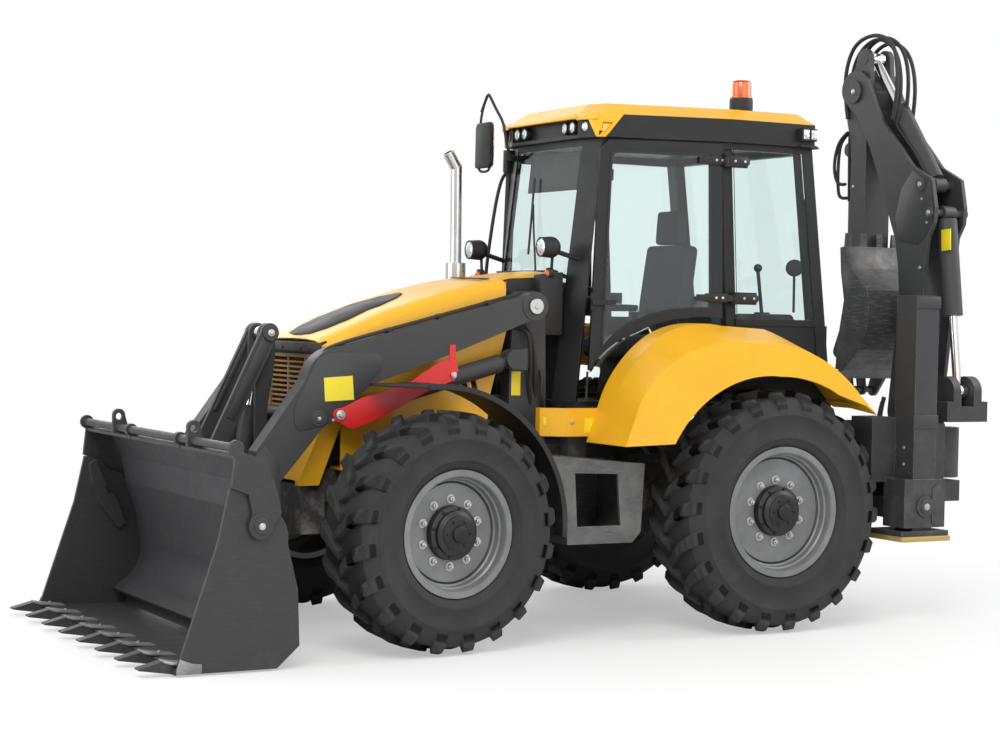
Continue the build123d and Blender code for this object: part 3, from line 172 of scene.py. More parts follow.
class Finish:
    """A material whose node tree is built step by step."""

    def __init__(self, name):
        self.material = bpy.data.materials.new(name)
        self.material.use_nodes = True
        self.tree = self.material.node_tree
        self.shader = self.tree.nodes["Principled BSDF"]
        self.place = self.tree.nodes.new("ShaderNodeTexCoord").outputs["Object"]

    def node(self, kind, **values):
        made = self.tree.nodes.new(kind)
        for key, value in values.items():
            setattr(made, key, value)
        return made

    def link(self, out, to):
        self.tree.links.new(out, to)

    def noise(self, scale, detail=4.0, roughness=0.6, stretch=None):
        made = self.node("ShaderNodeTexNoise")
        made.inputs["Scale"].default_value = scale
        made.inputs["Detail"].default_value = detail
        made.inputs["Roughness"].default_value = roughness
        source = self.place
        if stretch:
            mapping = self.node("ShaderNodeMapping")
            mapping.inputs["Scale"].default_value = stretch
            self.link(self.place, mapping.inputs["Vector"])
            source = mapping.outputs[0]
        self.link(source, made.inputs["Vector"])
        return made.outputs["Fac"]

    def remap(self, value, start, stop, low, high):
        """Bring a value from start..stop to low..high."""
        made = self.node("ShaderNodeMapRange")
        for socket, number in (("From Min", start), ("From Max", stop), ("To Min", low), ("To Max", high)):
            made.inputs[socket].default_value = number
        self.link(value, made.inputs["Value"])
        return made.outputs["Result"]

    def ramp(self, value, low, high, flip=False):
        return self.remap(value, low, high, *((1.0, 0.0) if flip else (0.0, 1.0)))

    def feed(self, socket, value):
        """Give a socket another node's output, a colour or a number."""
        if isinstance(value, bpy.types.NodeSocket):
            self.link(value, socket)
        else:
            socket.default_value = (*value, 1.0) if isinstance(value, tuple) else value

    def shade(self, name, value):
        self.feed(self.shader.inputs[name], value)

    def mix(self, amount, first, second):
        made = self.node("ShaderNodeMix", data_type="RGBA")
        for number, value in ((0, amount), (6, first), (7, second)):
            self.feed(made.inputs[number], value)
        return made.outputs[2]

    def math(self, operation, first, second):
        made = self.node("ShaderNodeMath", operation=operation, use_clamp=True)
        for number, value in enumerate((first, second)):
            self.feed(made.inputs[number], value)
        return made.outputs[0]

    def height(self):
        made = self.node("ShaderNodeSeparateXYZ")
        self.link(self.place, made.inputs[0])
        return made.outputs["Z"]

    def edges(self, radius=0.006):
        """1 near sharp edges: where the rounded normal leaves the flat one."""
        rounded = self.node("ShaderNodeBevel", samples=4)
        rounded.inputs["Radius"].default_value = radius
        flat = self.node("ShaderNodeNewGeometry")
        product = self.node("ShaderNodeVectorMath", operation="DOT_PRODUCT")
        self.link(rounded.outputs[0], product.inputs[0])
        self.link(flat.outputs["Normal"], product.inputs[1])
        return self.ramp(product.outputs["Value"], 0.985, 0.80)

    def bump(self, value, strength, distance, radius=0.004):
        made = self.node("ShaderNodeBump")
        made.inputs["Strength"].default_value = strength
        made.inputs["Distance"].default_value = distance
        self.link(value, made.inputs["Height"])
        if radius:
            rounded = self.node("ShaderNodeBevel", samples=4)
            rounded.inputs["Radius"].default_value = radius
            self.link(rounded.outputs[0], made.inputs["Normal"])
        self.link(made.outputs[0], self.shader.inputs["Normal"])


def paint(name, colour, gloss=0.35, dust=0.25, wear=0.0, bare=(0.32, 0.31, 0.30), metal=0.0, grain=0.25,
          dust_top=1.4, dust_colour=(0.36, 0.33, 0.29)):
    """Paint on metal: colour drift, dust low down, wear at edges, orange-peel bump."""
    f = Finish(name)
    drift = f.ramp(f.noise(2.2, 5.0), 0.3, 0.7)
    darker = tuple(c * 0.86 for c in colour)
    base = f.mix(drift, darker, colour)
    patches = f.ramp(f.noise(7.0, 8.0, 0.7), 0.48, 0.72)
    low = f.ramp(f.height(), dust_top, 0.1)
    settled = f.math("MULTIPLY", f.math("MULTIPLY", patches, low), dust * 2.0)
    haze = f.math("ADD", settled, dust * 0.12)
    base = f.mix(haze, base, dust_colour)
    if wear > 0:
        chips = f.ramp(f.noise(26.0, 8.0, 0.7), 0.42, 0.58)
        mask = f.math("MULTIPLY", f.math("MULTIPLY", f.edges(), chips), wear)
        base = f.mix(mask, base, bare)
    f.shade("Base Color", base)
    f.shade("Metallic", metal)
    dullest = min(gloss + 0.22, 1.0)
    f.shade("Roughness", f.remap(f.noise(9.0, 6.0), 0.0, 1.0, max(gloss - 0.08, 0.04), dullest))
    f.bump(f.noise(160.0, 3.0), grain, 0.0006)
    return f.material


def worn_steel(name, paint_colour, bare, amount=0.5, gloss=0.42, streak=(0.5, 0.5, 3.0)):
    """Work steel: paint rubbed off in long streaks, thin rust in the scratches."""
    f = Finish(name)
    blotch = f.ramp(f.noise(2.2, 6.0, 0.65), 0.66 - amount * 0.30, 0.90 - amount * 0.30)
    scratch = f.ramp(f.noise(30.0, 6.0, 0.7, stretch=streak), 0.50, 0.66)
    rubbed = f.math("MAXIMUM", blotch, f.math("MULTIPLY", scratch, amount))
    edge = f.math("MULTIPLY", f.edges(0.008), f.ramp(f.noise(19.0, 8.0), 0.38, 0.55))
    rubbed = f.math("MAXIMUM", rubbed, edge)
    rust = f.mix(f.ramp(f.noise(11.0, 9.0, 0.75), 0.55, 0.75), bare, (0.16, 0.10, 0.065))
    f.shade("Base Color", f.mix(rubbed, paint_colour, rust))
    f.shade("Metallic", f.remap(rubbed, 0.0, 1.0, 0.0, 0.75))
    f.shade("Roughness", f.remap(f.noise(14.0, 8.0), 0.0, 1.0, gloss - 0.08, gloss + 0.25))
    f.bump(f.noise(70.0, 8.0, 0.7), 0.5, 0.0012)
    return f.material


YELLOW = (0.90, 0.46, 0.012)
GREY = (0.044, 0.045, 0.048)
yellow = paint("yellow_paint", YELLOW, gloss=0.28, dust=0.10, wear=0.35, bare=(0.55, 0.30, 0.02))
grey = paint("arm_grey", GREY, gloss=0.42, dust=0.08, wear=0.45, bare=(0.20, 0.20, 0.20), dust_top=1.0)
hoe_grey = paint("backhoe_grey", (0.042, 0.043, 0.046), gloss=0.40, dust=0.10, wear=0.6,
                 bare=(0.28, 0.275, 0.27), dust_top=1.6)
black = paint("black_paint", (0.008, 0.008, 0.009), gloss=0.34, dust=0.04, wear=0.15, bare=(0.12, 0.12, 0.12))
under_black = paint("underbody_black", (0.020, 0.020, 0.021), gloss=0.6, dust=0.5, wear=0.2)
plastic = paint("black_plastic", (0.016, 0.016, 0.017), gloss=0.5, dust=0.08, grain=0.6)
red = paint("red_paint", (0.72, 0.008, 0.012), gloss=0.26, dust=0.08, wear=0.3, bare=(0.35, 0.10, 0.09))
tan = paint("grille_tan", (0.30, 0.19, 0.085), gloss=0.55, dust=0.35, dust_top=2.0)
step_grey = worn_steel("step_plate", (0.065, 0.065, 0.067), (0.20, 0.196, 0.19), amount=0.55)
bucket_steel = worn_steel("bucket_steel", (0.034, 0.034, 0.036), (0.085, 0.083, 0.081), amount=0.28)
hoe_steel = worn_steel("hoe_bucket_steel", (0.045, 0.045, 0.047), (0.20, 0.195, 0.19), amount=0.62,
                       gloss=0.36)
tooth_steel = worn_steel("tooth_steel", (0.12, 0.12, 0.12), (0.36, 0.355, 0.35), amount=0.8)
pad_steel = worn_steel("pad_steel", (0.45, 0.30, 0.08), (0.50, 0.40, 0.22), amount=0.6, gloss=0.5)
zinc = paint("zinc_fastener", (0.50, 0.50, 0.49), gloss=0.30, dust=0.1, metal=0.9)


def rubber():
    f = Finish("tyre_rubber")
    base = f.mix(f.ramp(f.noise(3.0, 6.0), 0.3, 0.7), (0.020, 0.020, 0.021), (0.032, 0.032, 0.032))
    dusty = f.math("MULTIPLY", f.ramp(f.noise(10.0, 9.0, 0.75), 0.55, 0.85), 0.30)
    f.shade("Base Color", f.mix(dusty, base, (0.115, 0.105, 0.095)))
    f.shade("Roughness", 0.72)
    f.bump(f.noise(90.0, 8.0, 0.7), 0.5, 0.0015, radius=0.006)
    return f.material


def polished(name, colour, gloss, stretch):
    f = Finish(name)
    f.shade("Base Color", f.mix(f.ramp(f.noise(5.0), 0.3, 0.7), colour, tuple(c * 0.8 for c in colour)))
    f.shade("Metallic", 1.0)
    f.shade("Roughness", gloss)
    f.bump(f.noise(120.0, 2.0, 0.5, stretch=stretch), 0.08, 0.0003)
    return f.material


def glass(name, tint, smudged_tint):
    f = Finish(name)
    smudge = f.ramp(f.noise(4.0, 6.0), 0.45, 0.8)
    f.shade("Base Color", f.mix(f.math("MULTIPLY", smudge, 0.5), tint, smudged_tint))
    f.shade("Transmission Weight", 1.0)
    f.shade("Roughness", 0.02)
    f.shade("IOR", 1.30)
    return f.material


HUB_RADIUS = 0.148


def rim_finish(name, centre, axis):
    """Grey disc, black hub drum: the colour changes with the distance from the wheel's axle."""
    f = Finish(name)
    away = f.node("ShaderNodeVectorMath", operation="SUBTRACT")
    away.inputs[1].default_value = centre
    f.link(f.place, away.inputs[0])
    turned = f.node("ShaderNodeVectorMath", operation="CROSS_PRODUCT")
    turned.inputs[1].default_value = axis
    f.link(away.outputs[0], turned.inputs[0])
    length = f.node("ShaderNodeVectorMath", operation="LENGTH")
    f.link(turned.outputs[0], length.inputs[0])
    hub = f.ramp(length.outputs["Value"], HUB_RADIUS - 0.0005, HUB_RADIUS + 0.0005, flip=True)
    dirt = f.math("MULTIPLY", f.ramp(f.noise(8.0, 8.0, 0.7), 0.45, 0.75), 0.45)
    shine = f.mix(f.ramp(f.noise(3.0), 0.3, 0.7), (0.15, 0.153, 0.157), (0.22, 0.223, 0.227))
    dusty = f.mix(dirt, shine, (0.11, 0.108, 0.102))
    f.shade("Base Color", f.mix(hub, dusty, (0.016, 0.016, 0.017)))
    f.shade("Metallic", 0.25)
    f.shade("Roughness", 0.40)
    f.bump(f.noise(110.0, 3.0), 0.2, 0.0006)
    return f.material


tyre_rubber = rubber()
for dull in (black, grey, hoe_grey, plastic, bucket_steel, hoe_steel, tyre_rubber):
    dull.node_tree.nodes["Principled BSDF"].inputs["Specular IOR Level"].default_value = 0.3
chrome = polished("chrome_rod", (0.78, 0.78, 0.79), 0.10, (1.0, 1.0, 8.0))
exhaust_steel = polished("exhaust_steel", (0.55, 0.54, 0.53), 0.22, (1.0, 1.0, 6.0))
window = glass("window_glass", (0.83, 0.915, 0.905), (0.78, 0.88, 0.87))
print("finishes:", len(bpy.data.materials))

# %% [markdown]
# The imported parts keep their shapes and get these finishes. A wheel's disc is one part with two
# colours, so its finish works out the distance from that wheel's own axle.

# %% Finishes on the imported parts
FINISHES = {name: material for material, names in (
    (yellow, "hood engine_panels rear_fenders side_sills roof_cap"),
    (tan, "grille"), (exhaust_steel, "exhaust"), (step_grey, "side_steps"), (red, "safety_struts"),
    (plastic, "lamps mirror front_mudguards cab_interior"),
    (black, "cab_frame roof_band door_left door_right"),
    (window, "cab_glass door_glass_left door_glass_right"),
    (under_black, "chassis axles driveline knuckle_left knuckle_right"),
    (grey, "loader_tower loader_arms tilt_lever tilt_link lift_barrels tilt_barrel"),
    (chrome, "lift_rods tilt_rod boom_rod dipper_rod hoe_rod"),
    (bucket_steel, "loader_bucket bucket_clam"), (hoe_steel, "hoe_bucket"),
    (hoe_grey, "rear_frame carriage stabiliser_leg_left stabiliser_leg_right kingpost boom dipper"
               " boom_barrel dipper_barrel hoe_barrel hoe_lever hoe_link"),
) for name in names.split()}
STEER = math.radians(6)
WHEELS = {}
for word in ("front_left", "front_right", "rear_left", "rear_right"):
    low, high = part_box("rim_" + word)
    centre = (Vector(low) + Vector(high)) / 2
    side = 1 if centre.y > 0 else -1
    front = word.startswith("front")
    turned = STEER if front else 0.0
    axis = Vector((-math.sin(turned), math.cos(turned), 0.0))
    WHEELS[word] = {"centre": centre, "axis": axis, "side": side, "turn": turned, "front": front}
    FINISHES["rim_" + word] = rim_finish("rim_" + word, centre, axis)
    FINISHES["tyre_" + word] = tyre_rubber
for name, thing in nodes.items():
    thing.data.materials.clear()
    thing.data.materials.append(FINISHES[name])
print("parts with a finish:", len(nodes))

# %% [markdown]
# New pieces start from a few corners or a plain cylinder in a bmesh. These helpers turn such a
# mesh into an object that rides on a body of the machine and carries the finish it is given.

# %% Helpers for new pieces
SIDES = ((1, "left"), (-1, "right"))


def finished(bm, name, material, body, smooth=35.0):
    """Close a bmesh into an object at the origin, with sharp edges kept above an angle."""
    bmesh.ops.remove_doubles(bm, verts=bm.verts, dist=0.00002)
    bmesh.ops.recalc_face_normals(bm, faces=bm.faces)
    for face in bm.faces:
        face.smooth = True
    mesh = bpy.data.meshes.new(name)
    bm.to_mesh(mesh)
    bm.free()
    mesh.set_sharp_from_angle(angle=math.radians(smooth))
    mesh.materials.append(material)
    thing = placed(name, mesh)
    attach(thing, body)
    return thing


def soften(bm, edges, offset, segments=2):
    """Round edges by an offset in metres."""
    bmesh.ops.bevel(bm, geom=list(edges), offset=offset, offset_type="OFFSET", segments=segments,
                    profile=0.5, affect="EDGES", material=-1, clamp_overlap=True)


def prism(bm, corners, shift, round_by=0.0):
    """A flat outline of (x, y, z) corners in millimetres, made thick by a shift."""
    verts = [bm.verts.new(spot(*corner)) for corner in corners]
    face = bm.faces.new(verts)
    grown = bmesh.ops.extrude_face_region(bm, geom=[face])["geom"]
    tips = [item for item in grown if isinstance(item, bmesh.types.BMVert)]
    bmesh.ops.translate(bm, verts=tips, vec=Vector(shift) * MM)
    if round_by:
        soften(bm, {edge for vert in verts + tips for edge in vert.link_edges}, round_by * MM)


def span(side, near, far):
    """Two distances from the middle, put in order on the left (1) or right (-1) side."""
    return sorted((side * near, side * far))


def oblong(x0, z0, x1, z1):
    return [(x0, z0), (x1, z0), (x1, z1), (x0, z1)]


def side_plate(bm, outline, y0, y1, round_by=0.0):
    prism(bm, [(x, y0, z) for x, z in outline], (0, y1 - y0, 0), round_by)


def cross_plate(bm, outline, x0, x1, round_by=0.0):
    prism(bm, [(x0, y, z) for y, z in outline], (x1 - x0, 0, 0), round_by)


def bar(bm, a, b, radius, end=None, segments=24):
    """A round bar, or a cone, between two places in millimetres."""
    start, stop = spot(*a), spot(*b)
    along = stop - start
    place = Matrix.Translation((start + stop) / 2) @ along.to_track_quat("Z", "Y").to_matrix().to_4x4()
    bmesh.ops.create_cone(bm, cap_ends=True, segments=segments, radius1=radius * MM,
                          radius2=(radius if end is None else end) * MM, depth=along.length, matrix=place)


def spun(bm, profile, centre, axis, steps=48):
    """Turn a closed (radius, width) outline in millimetres about an axis through a centre."""
    axis = Vector(axis).normalized()
    out = axis.orthogonal().normalized()
    verts = [bm.verts.new(centre + out * (r * MM) + axis * (w * MM)) for r, w in profile]
    edges = [bm.edges.new((verts[i - 1], verts[i])) for i in range(len(verts))]
    bmesh.ops.spin(bm, geom=verts + edges, cent=centre, axis=axis, angle=math.tau, steps=steps,
                   use_merge=True, use_duplicate=False)


def bolt(bm, at, axis, size=14.0, proud=12.0):
    """A hexagon head on a washer, standing on a face at a place in millimetres."""
    axis = Vector(axis).normalized()
    at = Vector(at)
    bar(bm, at - axis * 2, at + axis * 3, size * 1.35, segments=20)
    bar(bm, at + axis * 2, at + axis * proud, size, size * 0.94, segments=6)


def round_plate(bm, at, axis, radius, thick, segments=40, round_by=1.5):
    """A disc with a softened rim, standing on a face at a place in millimetres."""
    spun(bm, [(0.01, 0), (radius, 0), (radius, thick - round_by), (radius - round_by, thick), (0.01, thick)],
         spot(*at), axis, steps=segments)


def side_round(bm, side, at, radius, thick, **more):
    """A round plate on the left (1) or right (-1) side, at (ahead, out, up) in millimetres."""
    round_plate(bm, (at[0], side * at[1], at[2]), (0, side, 0), radius, thick, **more)


def side_bolt(bm, side, at, size, proud):
    """A bolt on the left (1) or right (-1) side, at (ahead, out, up) in millimetres."""
    bolt(bm, (at[0], side * at[1], at[2]), (0, side, 0), size, proud)


# %% [markdown]
# A lugged tyre is a carcass spun from its section, with a row of lugs on each shoulder. One lug
# is a square drawn out through stations: it starts as a nose past the middle of the tread, leans
# back as it goes outwards, and runs down the side wall. The other row is half a pitch behind.

# %% Tyres
TYRES = {
    "front": {"radius": 648.0, "flange": 342.0, "lugs": 20},
    "rear": {"radius": 705.0, "flange": 378.0, "lugs": 22},
}
LUG_ROUNDING = 5
LUG_STATIONS = [
    # degrees behind the nose, half width, outer (width, depth), inner (width, depth)
    (0.0, 27, (-14, 0), (-14, 52)),
    (5.4, 29, (62, 0), (62, 52)),
    (9.2, 34, (134, 3), (130, 54)),
    (11.2, 38, (186, 15), (172, 66)),
    (11.9, 40, (214, 50), (186, 88)),
    (12.1, 38, (221, 100), (200, 118)),
    (12.2, 31, (219, 138), (208, 142)),
]


# a tyre's half section: (height above the flange, width), then (depth below the tread, width)
BEAD = [(-18, 160), (-10, 174), (4, 178), (9, 192), (26, 205), (46, 212), (50, 217), (60, 218), (66, 215)]
TREAD = [(150, 219), (146, 222), (138, 222), (134, 219), (104, 214), (72, 203), (50, 186), (41, 150),
         (38, 80), (37, 0)]


def round_wheel(radius, width, degrees, offset=0.0):
    """A place on a wheel about the Y axis: degrees behind its top, then millimetres ahead."""
    around = -math.radians(degrees) + offset / radius
    return Vector((radius * math.sin(around), width, radius * math.cos(around))) * MM


def lug_mesh(radius, hand):
    bm = bmesh.new()
    ring = None
    for degrees, half, (outer_w, outer_d), (inner_w, inner_d) in LUG_STATIONS:
        places = [round_wheel(radius - outer_d, hand * outer_w, degrees, half - 4),
                  round_wheel(radius - outer_d, hand * outer_w, degrees, 4 - half),
                  round_wheel(radius - inner_d, hand * inner_w, degrees, -half - 6),
                  round_wheel(radius - inner_d, hand * inner_w, degrees, half + 6)]
        if ring is None:
            ring = [bm.verts.new(place) for place in places]
            face = bm.faces.new(ring)
            continue
        grown = bmesh.ops.extrude_face_region(bm, geom=[face])["geom"]
        face = next(item for item in grown if isinstance(item, bmesh.types.BMFace))
        for vert, place in zip(face.verts, places):
            vert.co = place
    bmesh.ops.recalc_face_normals(bm, faces=bm.faces)
    soften(bm, bm.edges, LUG_ROUNDING * MM)
    mesh = bpy.data.meshes.new("lug")
    bm.to_mesh(mesh)
    bm.free()
    return mesh


def tyre(word, kind):
    wheel = WHEELS[word]
    radius, flange, count = kind["radius"], kind["flange"], kind["lugs"]
    half = [(flange + up, width) for up, width in BEAD] + [(radius - down, width) for down, width in TREAD]
    profile = half + [(r, -w) for r, w in reversed(half[:-1])]
    bm = bmesh.new()
    spun(bm, profile, Vector((0, 0, 0)), (0, 1, 0), steps=120)
    for hand, shift in ((1, 0.0), (-1, 0.5)):
        pattern = lug_mesh(radius, hand)
        for k in range(count):
            before = len(bm.verts)
            bm.from_mesh(pattern)
            bm.verts.ensure_lookup_table()
            bmesh.ops.rotate(bm, verts=bm.verts[before:], cent=(0, 0, 0),
                             matrix=Matrix.Rotation(math.tau * (k + shift) / count, 3, "Y"))
        bpy.data.meshes.remove(pattern)
    bmesh.ops.transform(bm, verts=bm.verts,
                        matrix=Matrix.Translation(wheel["centre"]) @ Matrix.Rotation(wheel["turn"], 4, "Z"))
    thing = finished(bm, "tread_" + word, tyre_rubber, "wheel_" + word, smooth=38.0)
    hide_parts("tyre_" + word)
    return thing


for word, wheel in WHEELS.items():
    made = tyre(word, TYRES["front" if wheel["front"] else "rear"])
    print(made.name, len(made.data.polygons), "faces")

# %% [markdown]
# A wheel's disc is bolted to its hub by ten nuts on studs. A turned ring gives the rim the steps
# that a tyre's bead needs. A small cap with six screws closes the hub, inside eight more bolts.

# %% Wheel nuts, rim steps and hub caps
# turned outlines: (depth below the flange, width) for the steps, (radius, width) for the cap
RIM_STEPS = [(33.9, 188), (37, 189), (43, 176), (45, 150), (54, 142), (58, 112), (66, 106), (69, 68),
             (60, 64), (33.9, 64)]
NUT_CIRCLE, BOLT_CIRCLE, SCREW_CIRCLE = 181, 133, 72
HUB_CAP = [(0.01, 183), (96, 183), (96, 188), (88, 192), (46, 194), (44, 206), (34, 211), (0.01, 211)]


def wheel_place(word, radius, degrees, width):
    """Millimetres in a wheel's own frame, as a place on the machine in millimetres."""
    wheel = WHEELS[word]
    around = math.radians(degrees)
    local = Vector((radius * math.cos(around), wheel["side"] * width, radius * math.sin(around)))
    turned = Matrix.Rotation(wheel["turn"], 3, "Z") @ local
    centre = (wheel["centre"] - spot(0, 0, 0)) / MM
    return centre + turned


for word, wheel in WHEELS.items():
    flange = TYRES["front" if wheel["front"] else "rear"]["flange"]
    body = "wheel_" + word
    outward = wheel["axis"] * wheel["side"]
    bm = bmesh.new()
    for k in range(10):
        foot = wheel_place(word, NUT_CIRCLE, 18 + 36 * k, 100)
        bar(bm, foot - outward * 3, foot + outward * 5, 25, segments=20)
        bar(bm, foot + outward * 4, foot + outward * 24, 17, 15.5, segments=6)
        bar(bm, foot + outward * 20, foot + outward * 34, 9.5, 8, segments=14)
    finished(bm, "wheel_nuts_" + word, zinc, body)
    bm = bmesh.new()
    spun(bm, [(flange - down, width) for down, width in RIM_STEPS], wheel["centre"], outward, steps=96)
    finished(bm, "rim_steps_" + word, FINISHES["rim_" + word], body, smooth=25.0)
    bm = bmesh.new()
    spun(bm, HUB_CAP, wheel["centre"], outward)
    for k in range(6):
        foot = wheel_place(word, SCREW_CIRCLE, 60 * k, 192)
        bar(bm, foot, foot + outward * 8, 8, 7, segments=6)
    for k in range(8):
        foot = wheel_place(word, BOLT_CIRCLE, 45 * k + 12, 142)
        bar(bm, foot - outward * 4, foot + outward * 12, 8, 7.5, segments=6)
    finished(bm, "hub_cap_" + word, black, body)
print("wheels dressed:", len(WHEELS))

# %% [markdown]
# The hood is pressed sheet. Its top is not flat but crowned across, with a soft shoulder above
# each side. One section is drawn out along the machine, and each station is moved to its place.
# The hood has a narrow part at the scuttle and a wide one ahead of it.

# %% Crowned hood
HOOD_LINE = [(1095, 2066), (1240, 2054), (1420, 2028), (1606, 1997), (1809, 1947), (2020, 1884), (2229, 1814),
             (2470, 1711), (2560, 1672), (2594, 1650)]
SEAM_START, SEAM_END = (1440, 1890), (2594, 1612)


def seam_height(x):
    run = min(max((x - SEAM_START[0]) / (SEAM_END[0] - SEAM_START[0]), 0.0), 1.0)
    return SEAM_START[1] + run * (SEAM_END[1] - SEAM_START[1])


def hood_section(x, top, half):
    low = min(seam_height(x), top - 34)
    side = [(half, low), (half, top - 62 if top - 62 > low + 8 else low + 12), (half - 12, top - 32),
            (half - 40, top - 12), (half - 110, top + 1), (half - 230, top + 8), (0, top + 10)]
    points = side + [(-y, z) for y, z in reversed(side[:-1])]
    return [spot(x, y, z) for y, z in points]


def drawn_shell(stations, thick):
    """Draw a row of edges out through stations of places, then give the sheet its thickness."""
    bm = bmesh.new()
    row = [bm.verts.new(place) for place in stations[0]]
    edges = [bm.edges.new(pair) for pair in zip(row, row[1:])]
    for station in stations[1:]:
        grown = bmesh.ops.extrude_edge_only(bm, edges=edges)["geom"]
        links = {}
        for old in row:
            for edge in old.link_edges:
                other = edge.other_vert(old)
                if other in grown and edge not in edges:
                    links[old] = other
        row = [links[old] for old in row]
        for vert, place in zip(row, station):
            vert.co = place
        edges = [bm.edges.get(pair) for pair in zip(row, row[1:])]
    bmesh.ops.recalc_face_normals(bm, faces=bm.faces)
    bmesh.ops.solidify(bm, geom=bm.faces[:], thickness=thick * MM)
    return bm


STEP_X, STEP_TOP, NARROW, WIDE = 1463, 2021, 350, 430
TAPER_FROM, TAPER = 2400, 0.10
rear_part = [hood_section(x, z, NARROW) for x, z in HOOD_LINE[:3] + [(STEP_X, STEP_TOP)]]
front_part = [hood_section(x, z, WIDE - max(0, x - TAPER_FROM) * TAPER)
              for x, z in [(STEP_X, STEP_TOP)] + HOOD_LINE[3:]]
bm = drawn_shell(rear_part, 8)
rear_hood = finished(bm, "hood_rear", yellow, "machine", smooth=50.0)
bm = drawn_shell(front_part, 8)
for side in (1, -1):
    side_plate(bm, [(STEP_X, 1884), (STEP_X, 2000), (STEP_X + 7, 2000), (STEP_X + 7, 1882)],
               *span(side, 345, 428))
front_hood = finished(bm, "hood_front", yellow, "machine", smooth=50.0)
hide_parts("hood")
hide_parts("hood")

INLAY = [(2572, 40), (2555, 150), (2480, 205), (2350, 226), (2150, 205), (2010, 140), (1935, 50)]
stations = []
for x, half in INLAY:
    line = [p for p in zip(HOOD_LINE, HOOD_LINE[1:]) if p[0][0] <= x <= p[1][0]][0]
    top = line[0][1] + (x - line[0][0]) / (line[1][0] - line[0][0]) * (line[1][1] - line[0][1])
    stations.append([spot(x, y, top + lift) for y, lift in ((half, 6), (half - 10, 17), (0, 20),
                                                            (10 - half, 17), (-half, 6))])
bm = drawn_shell(stations, 5)
finished(bm, "hood_inlay", plastic, "machine", smooth=50.0)

bm = bmesh.new()
side_plate(bm, [(2560, 1652), (2598, 1638), (2604, 1590), (2596, 1572), (2560, 1578)], -400, 400, round_by=5)
for y in (-260, -130, 130, 260):
    bolt(bm, (2601, y, 1606), (1, 0, 0.1), size=7, proud=6)
finished(bm, "nose_band", plastic, "machine")
bm = bmesh.new()
for x in (1520, 1560):
    prism(bm, [(x, -60, 2025), (x + 18, -60, 2021), (x + 18, 330, 2014), (x, 330, 2018)], (0, 0, 4))
finished(bm, "hood_slots", plastic, "machine")
print("hood dressed")

# %% [markdown]
# A lamp is a bright bowl in a dark ring. The bowl's facets are small cells in its height, so it
# catches the light in points as pressed reflectors do; the colour of each facet is also painted
# lighter in its middle and darker at its rim, a painted glint and painted shade on every facet.
# The beacon and the indicators are amber.

# %% Lamp finishes


def reflector():
    f = Finish("reflector")
    cells = f.node("ShaderNodeTexVoronoi")
    cells.inputs["Scale"].default_value = 70.0
    f.link(f.place, cells.inputs["Vector"])
    # painted glint and shade: each facet's colour is lighter in its middle and darker towards its rim
    painted_facet_glints = f.ramp(cells.outputs["Distance"], 0.0, 0.6)
    f.shade("Base Color", f.mix(painted_facet_glints, (0.86, 0.87, 0.88), (0.55, 0.56, 0.58)))
    f.shade("Metallic", 0.6)
    f.shade("Roughness", 0.14)
    f.bump(cells.outputs["Distance"], 0.6, 0.004, radius=0)
    return f.material


def lit_plastic(name, colour, deep):
    f = Finish(name)
    bands = f.ramp(f.noise(30.0, 2.0, stretch=(1.0, 1.0, 0.2)), 0.35, 0.65)
    f.shade("Base Color", f.mix(bands, colour, deep))
    f.shade("Roughness", 0.12)
    f.shade("Coat Weight", 0.6)
    f.bump(bands, 0.2, 0.002, radius=0)
    return f.material


bright_bowl = reflector()
amber = lit_plastic("amber_lens", (0.78, 0.15, 0.006), (0.52, 0.075, 0.003))
warning_yellow = paint("plate_yellow", (0.90, 0.72, 0.015), gloss=0.32, dust=0.05)
plate_white = paint("plate_white", (0.62, 0.63, 0.62), gloss=0.35, dust=0.08)
seal_rubber = paint("seal_rubber", (0.010, 0.010, 0.011), gloss=0.6, dust=0.05)
print("finishes with the lamps:", len(bpy.data.materials))

# %% [markdown]
# Head lamps stand beside the hood, and work lamps look ahead from under the roof. Two small oblong
# lamps sit on each side of the roof, and the beacon stands on a black foot. A scaled sphere could
# be a bowl too, but a spun section puts the edge just where the bowl meets its ring.

# %% Lamps and beacon
BEACON = spot(-50, 560, 0)
ROOF_LAMP_Z = 2916


def lamp_front(bm_bowl, bm_ring, at, axis, radius):
    """A bowl that bulges a little out of a ring, looking along an axis."""
    place = spot(*at)
    bulge = [(0.01, -6), (radius, -6), (radius, 0), (radius * 0.8, radius * 0.10),
             (radius * 0.45, radius * 0.17), (0.01, radius * 0.2)]
    collar = [(radius - 1, -6), (radius + 6, -6), (radius + 6, 3), (radius - 1, 5)]
    spun(bm_bowl, bulge, place, axis, steps=32)
    spun(bm_ring, collar, place, axis, steps=32)


bowls, rings = bmesh.new(), bmesh.new()
for side in (1, -1):
    lamp_front(bowls, rings, (1246, side * 442, 2207), (1, 0, 0), 52)
    for y in (240, 330):
        lamp_front(bowls, rings, (987, side * y, ROOF_LAMP_Z), (1, 0, 0), 32)
    lamp_front(bowls, rings, (968, side * 452, ROOF_LAMP_Z), (1, side * 0.5, 0), 30)
    bar(rings, (925, side * 440, ROOF_LAMP_Z), (966, side * 451, ROOF_LAMP_Z), 36)
    for x in (-415, -358):
        side_plate(bowls, oblong(x - 20, 2895, x + 20, 2950), side * 801, side * 807, round_by=2)
        side_plate(rings, oblong(x - 25, 2888, x + 25, 2957), side * 790, side * 802, round_by=3)
finished(bowls, "lamp_bowls", bright_bowl, "machine", smooth=60.0)
finished(rings, "lamp_rings", plastic, "machine")
bm = bmesh.new()
dome = [(0.01, 3130), (66, 3130), (66, 3146), (59, 3152), (59, 3212), (56, 3230), (44, 3242), (0.01, 3246)]
spun(bm, dome, BEACON, (0, 0, 1))
for side in (1, -1):
    indicator = [(0.01, 0), (21, 0), (19, 10), (12, 16), (0.01, 18)]
    spun(bm, indicator, spot(1190, side * 425, 2056), (1, 0, 0), steps=28)
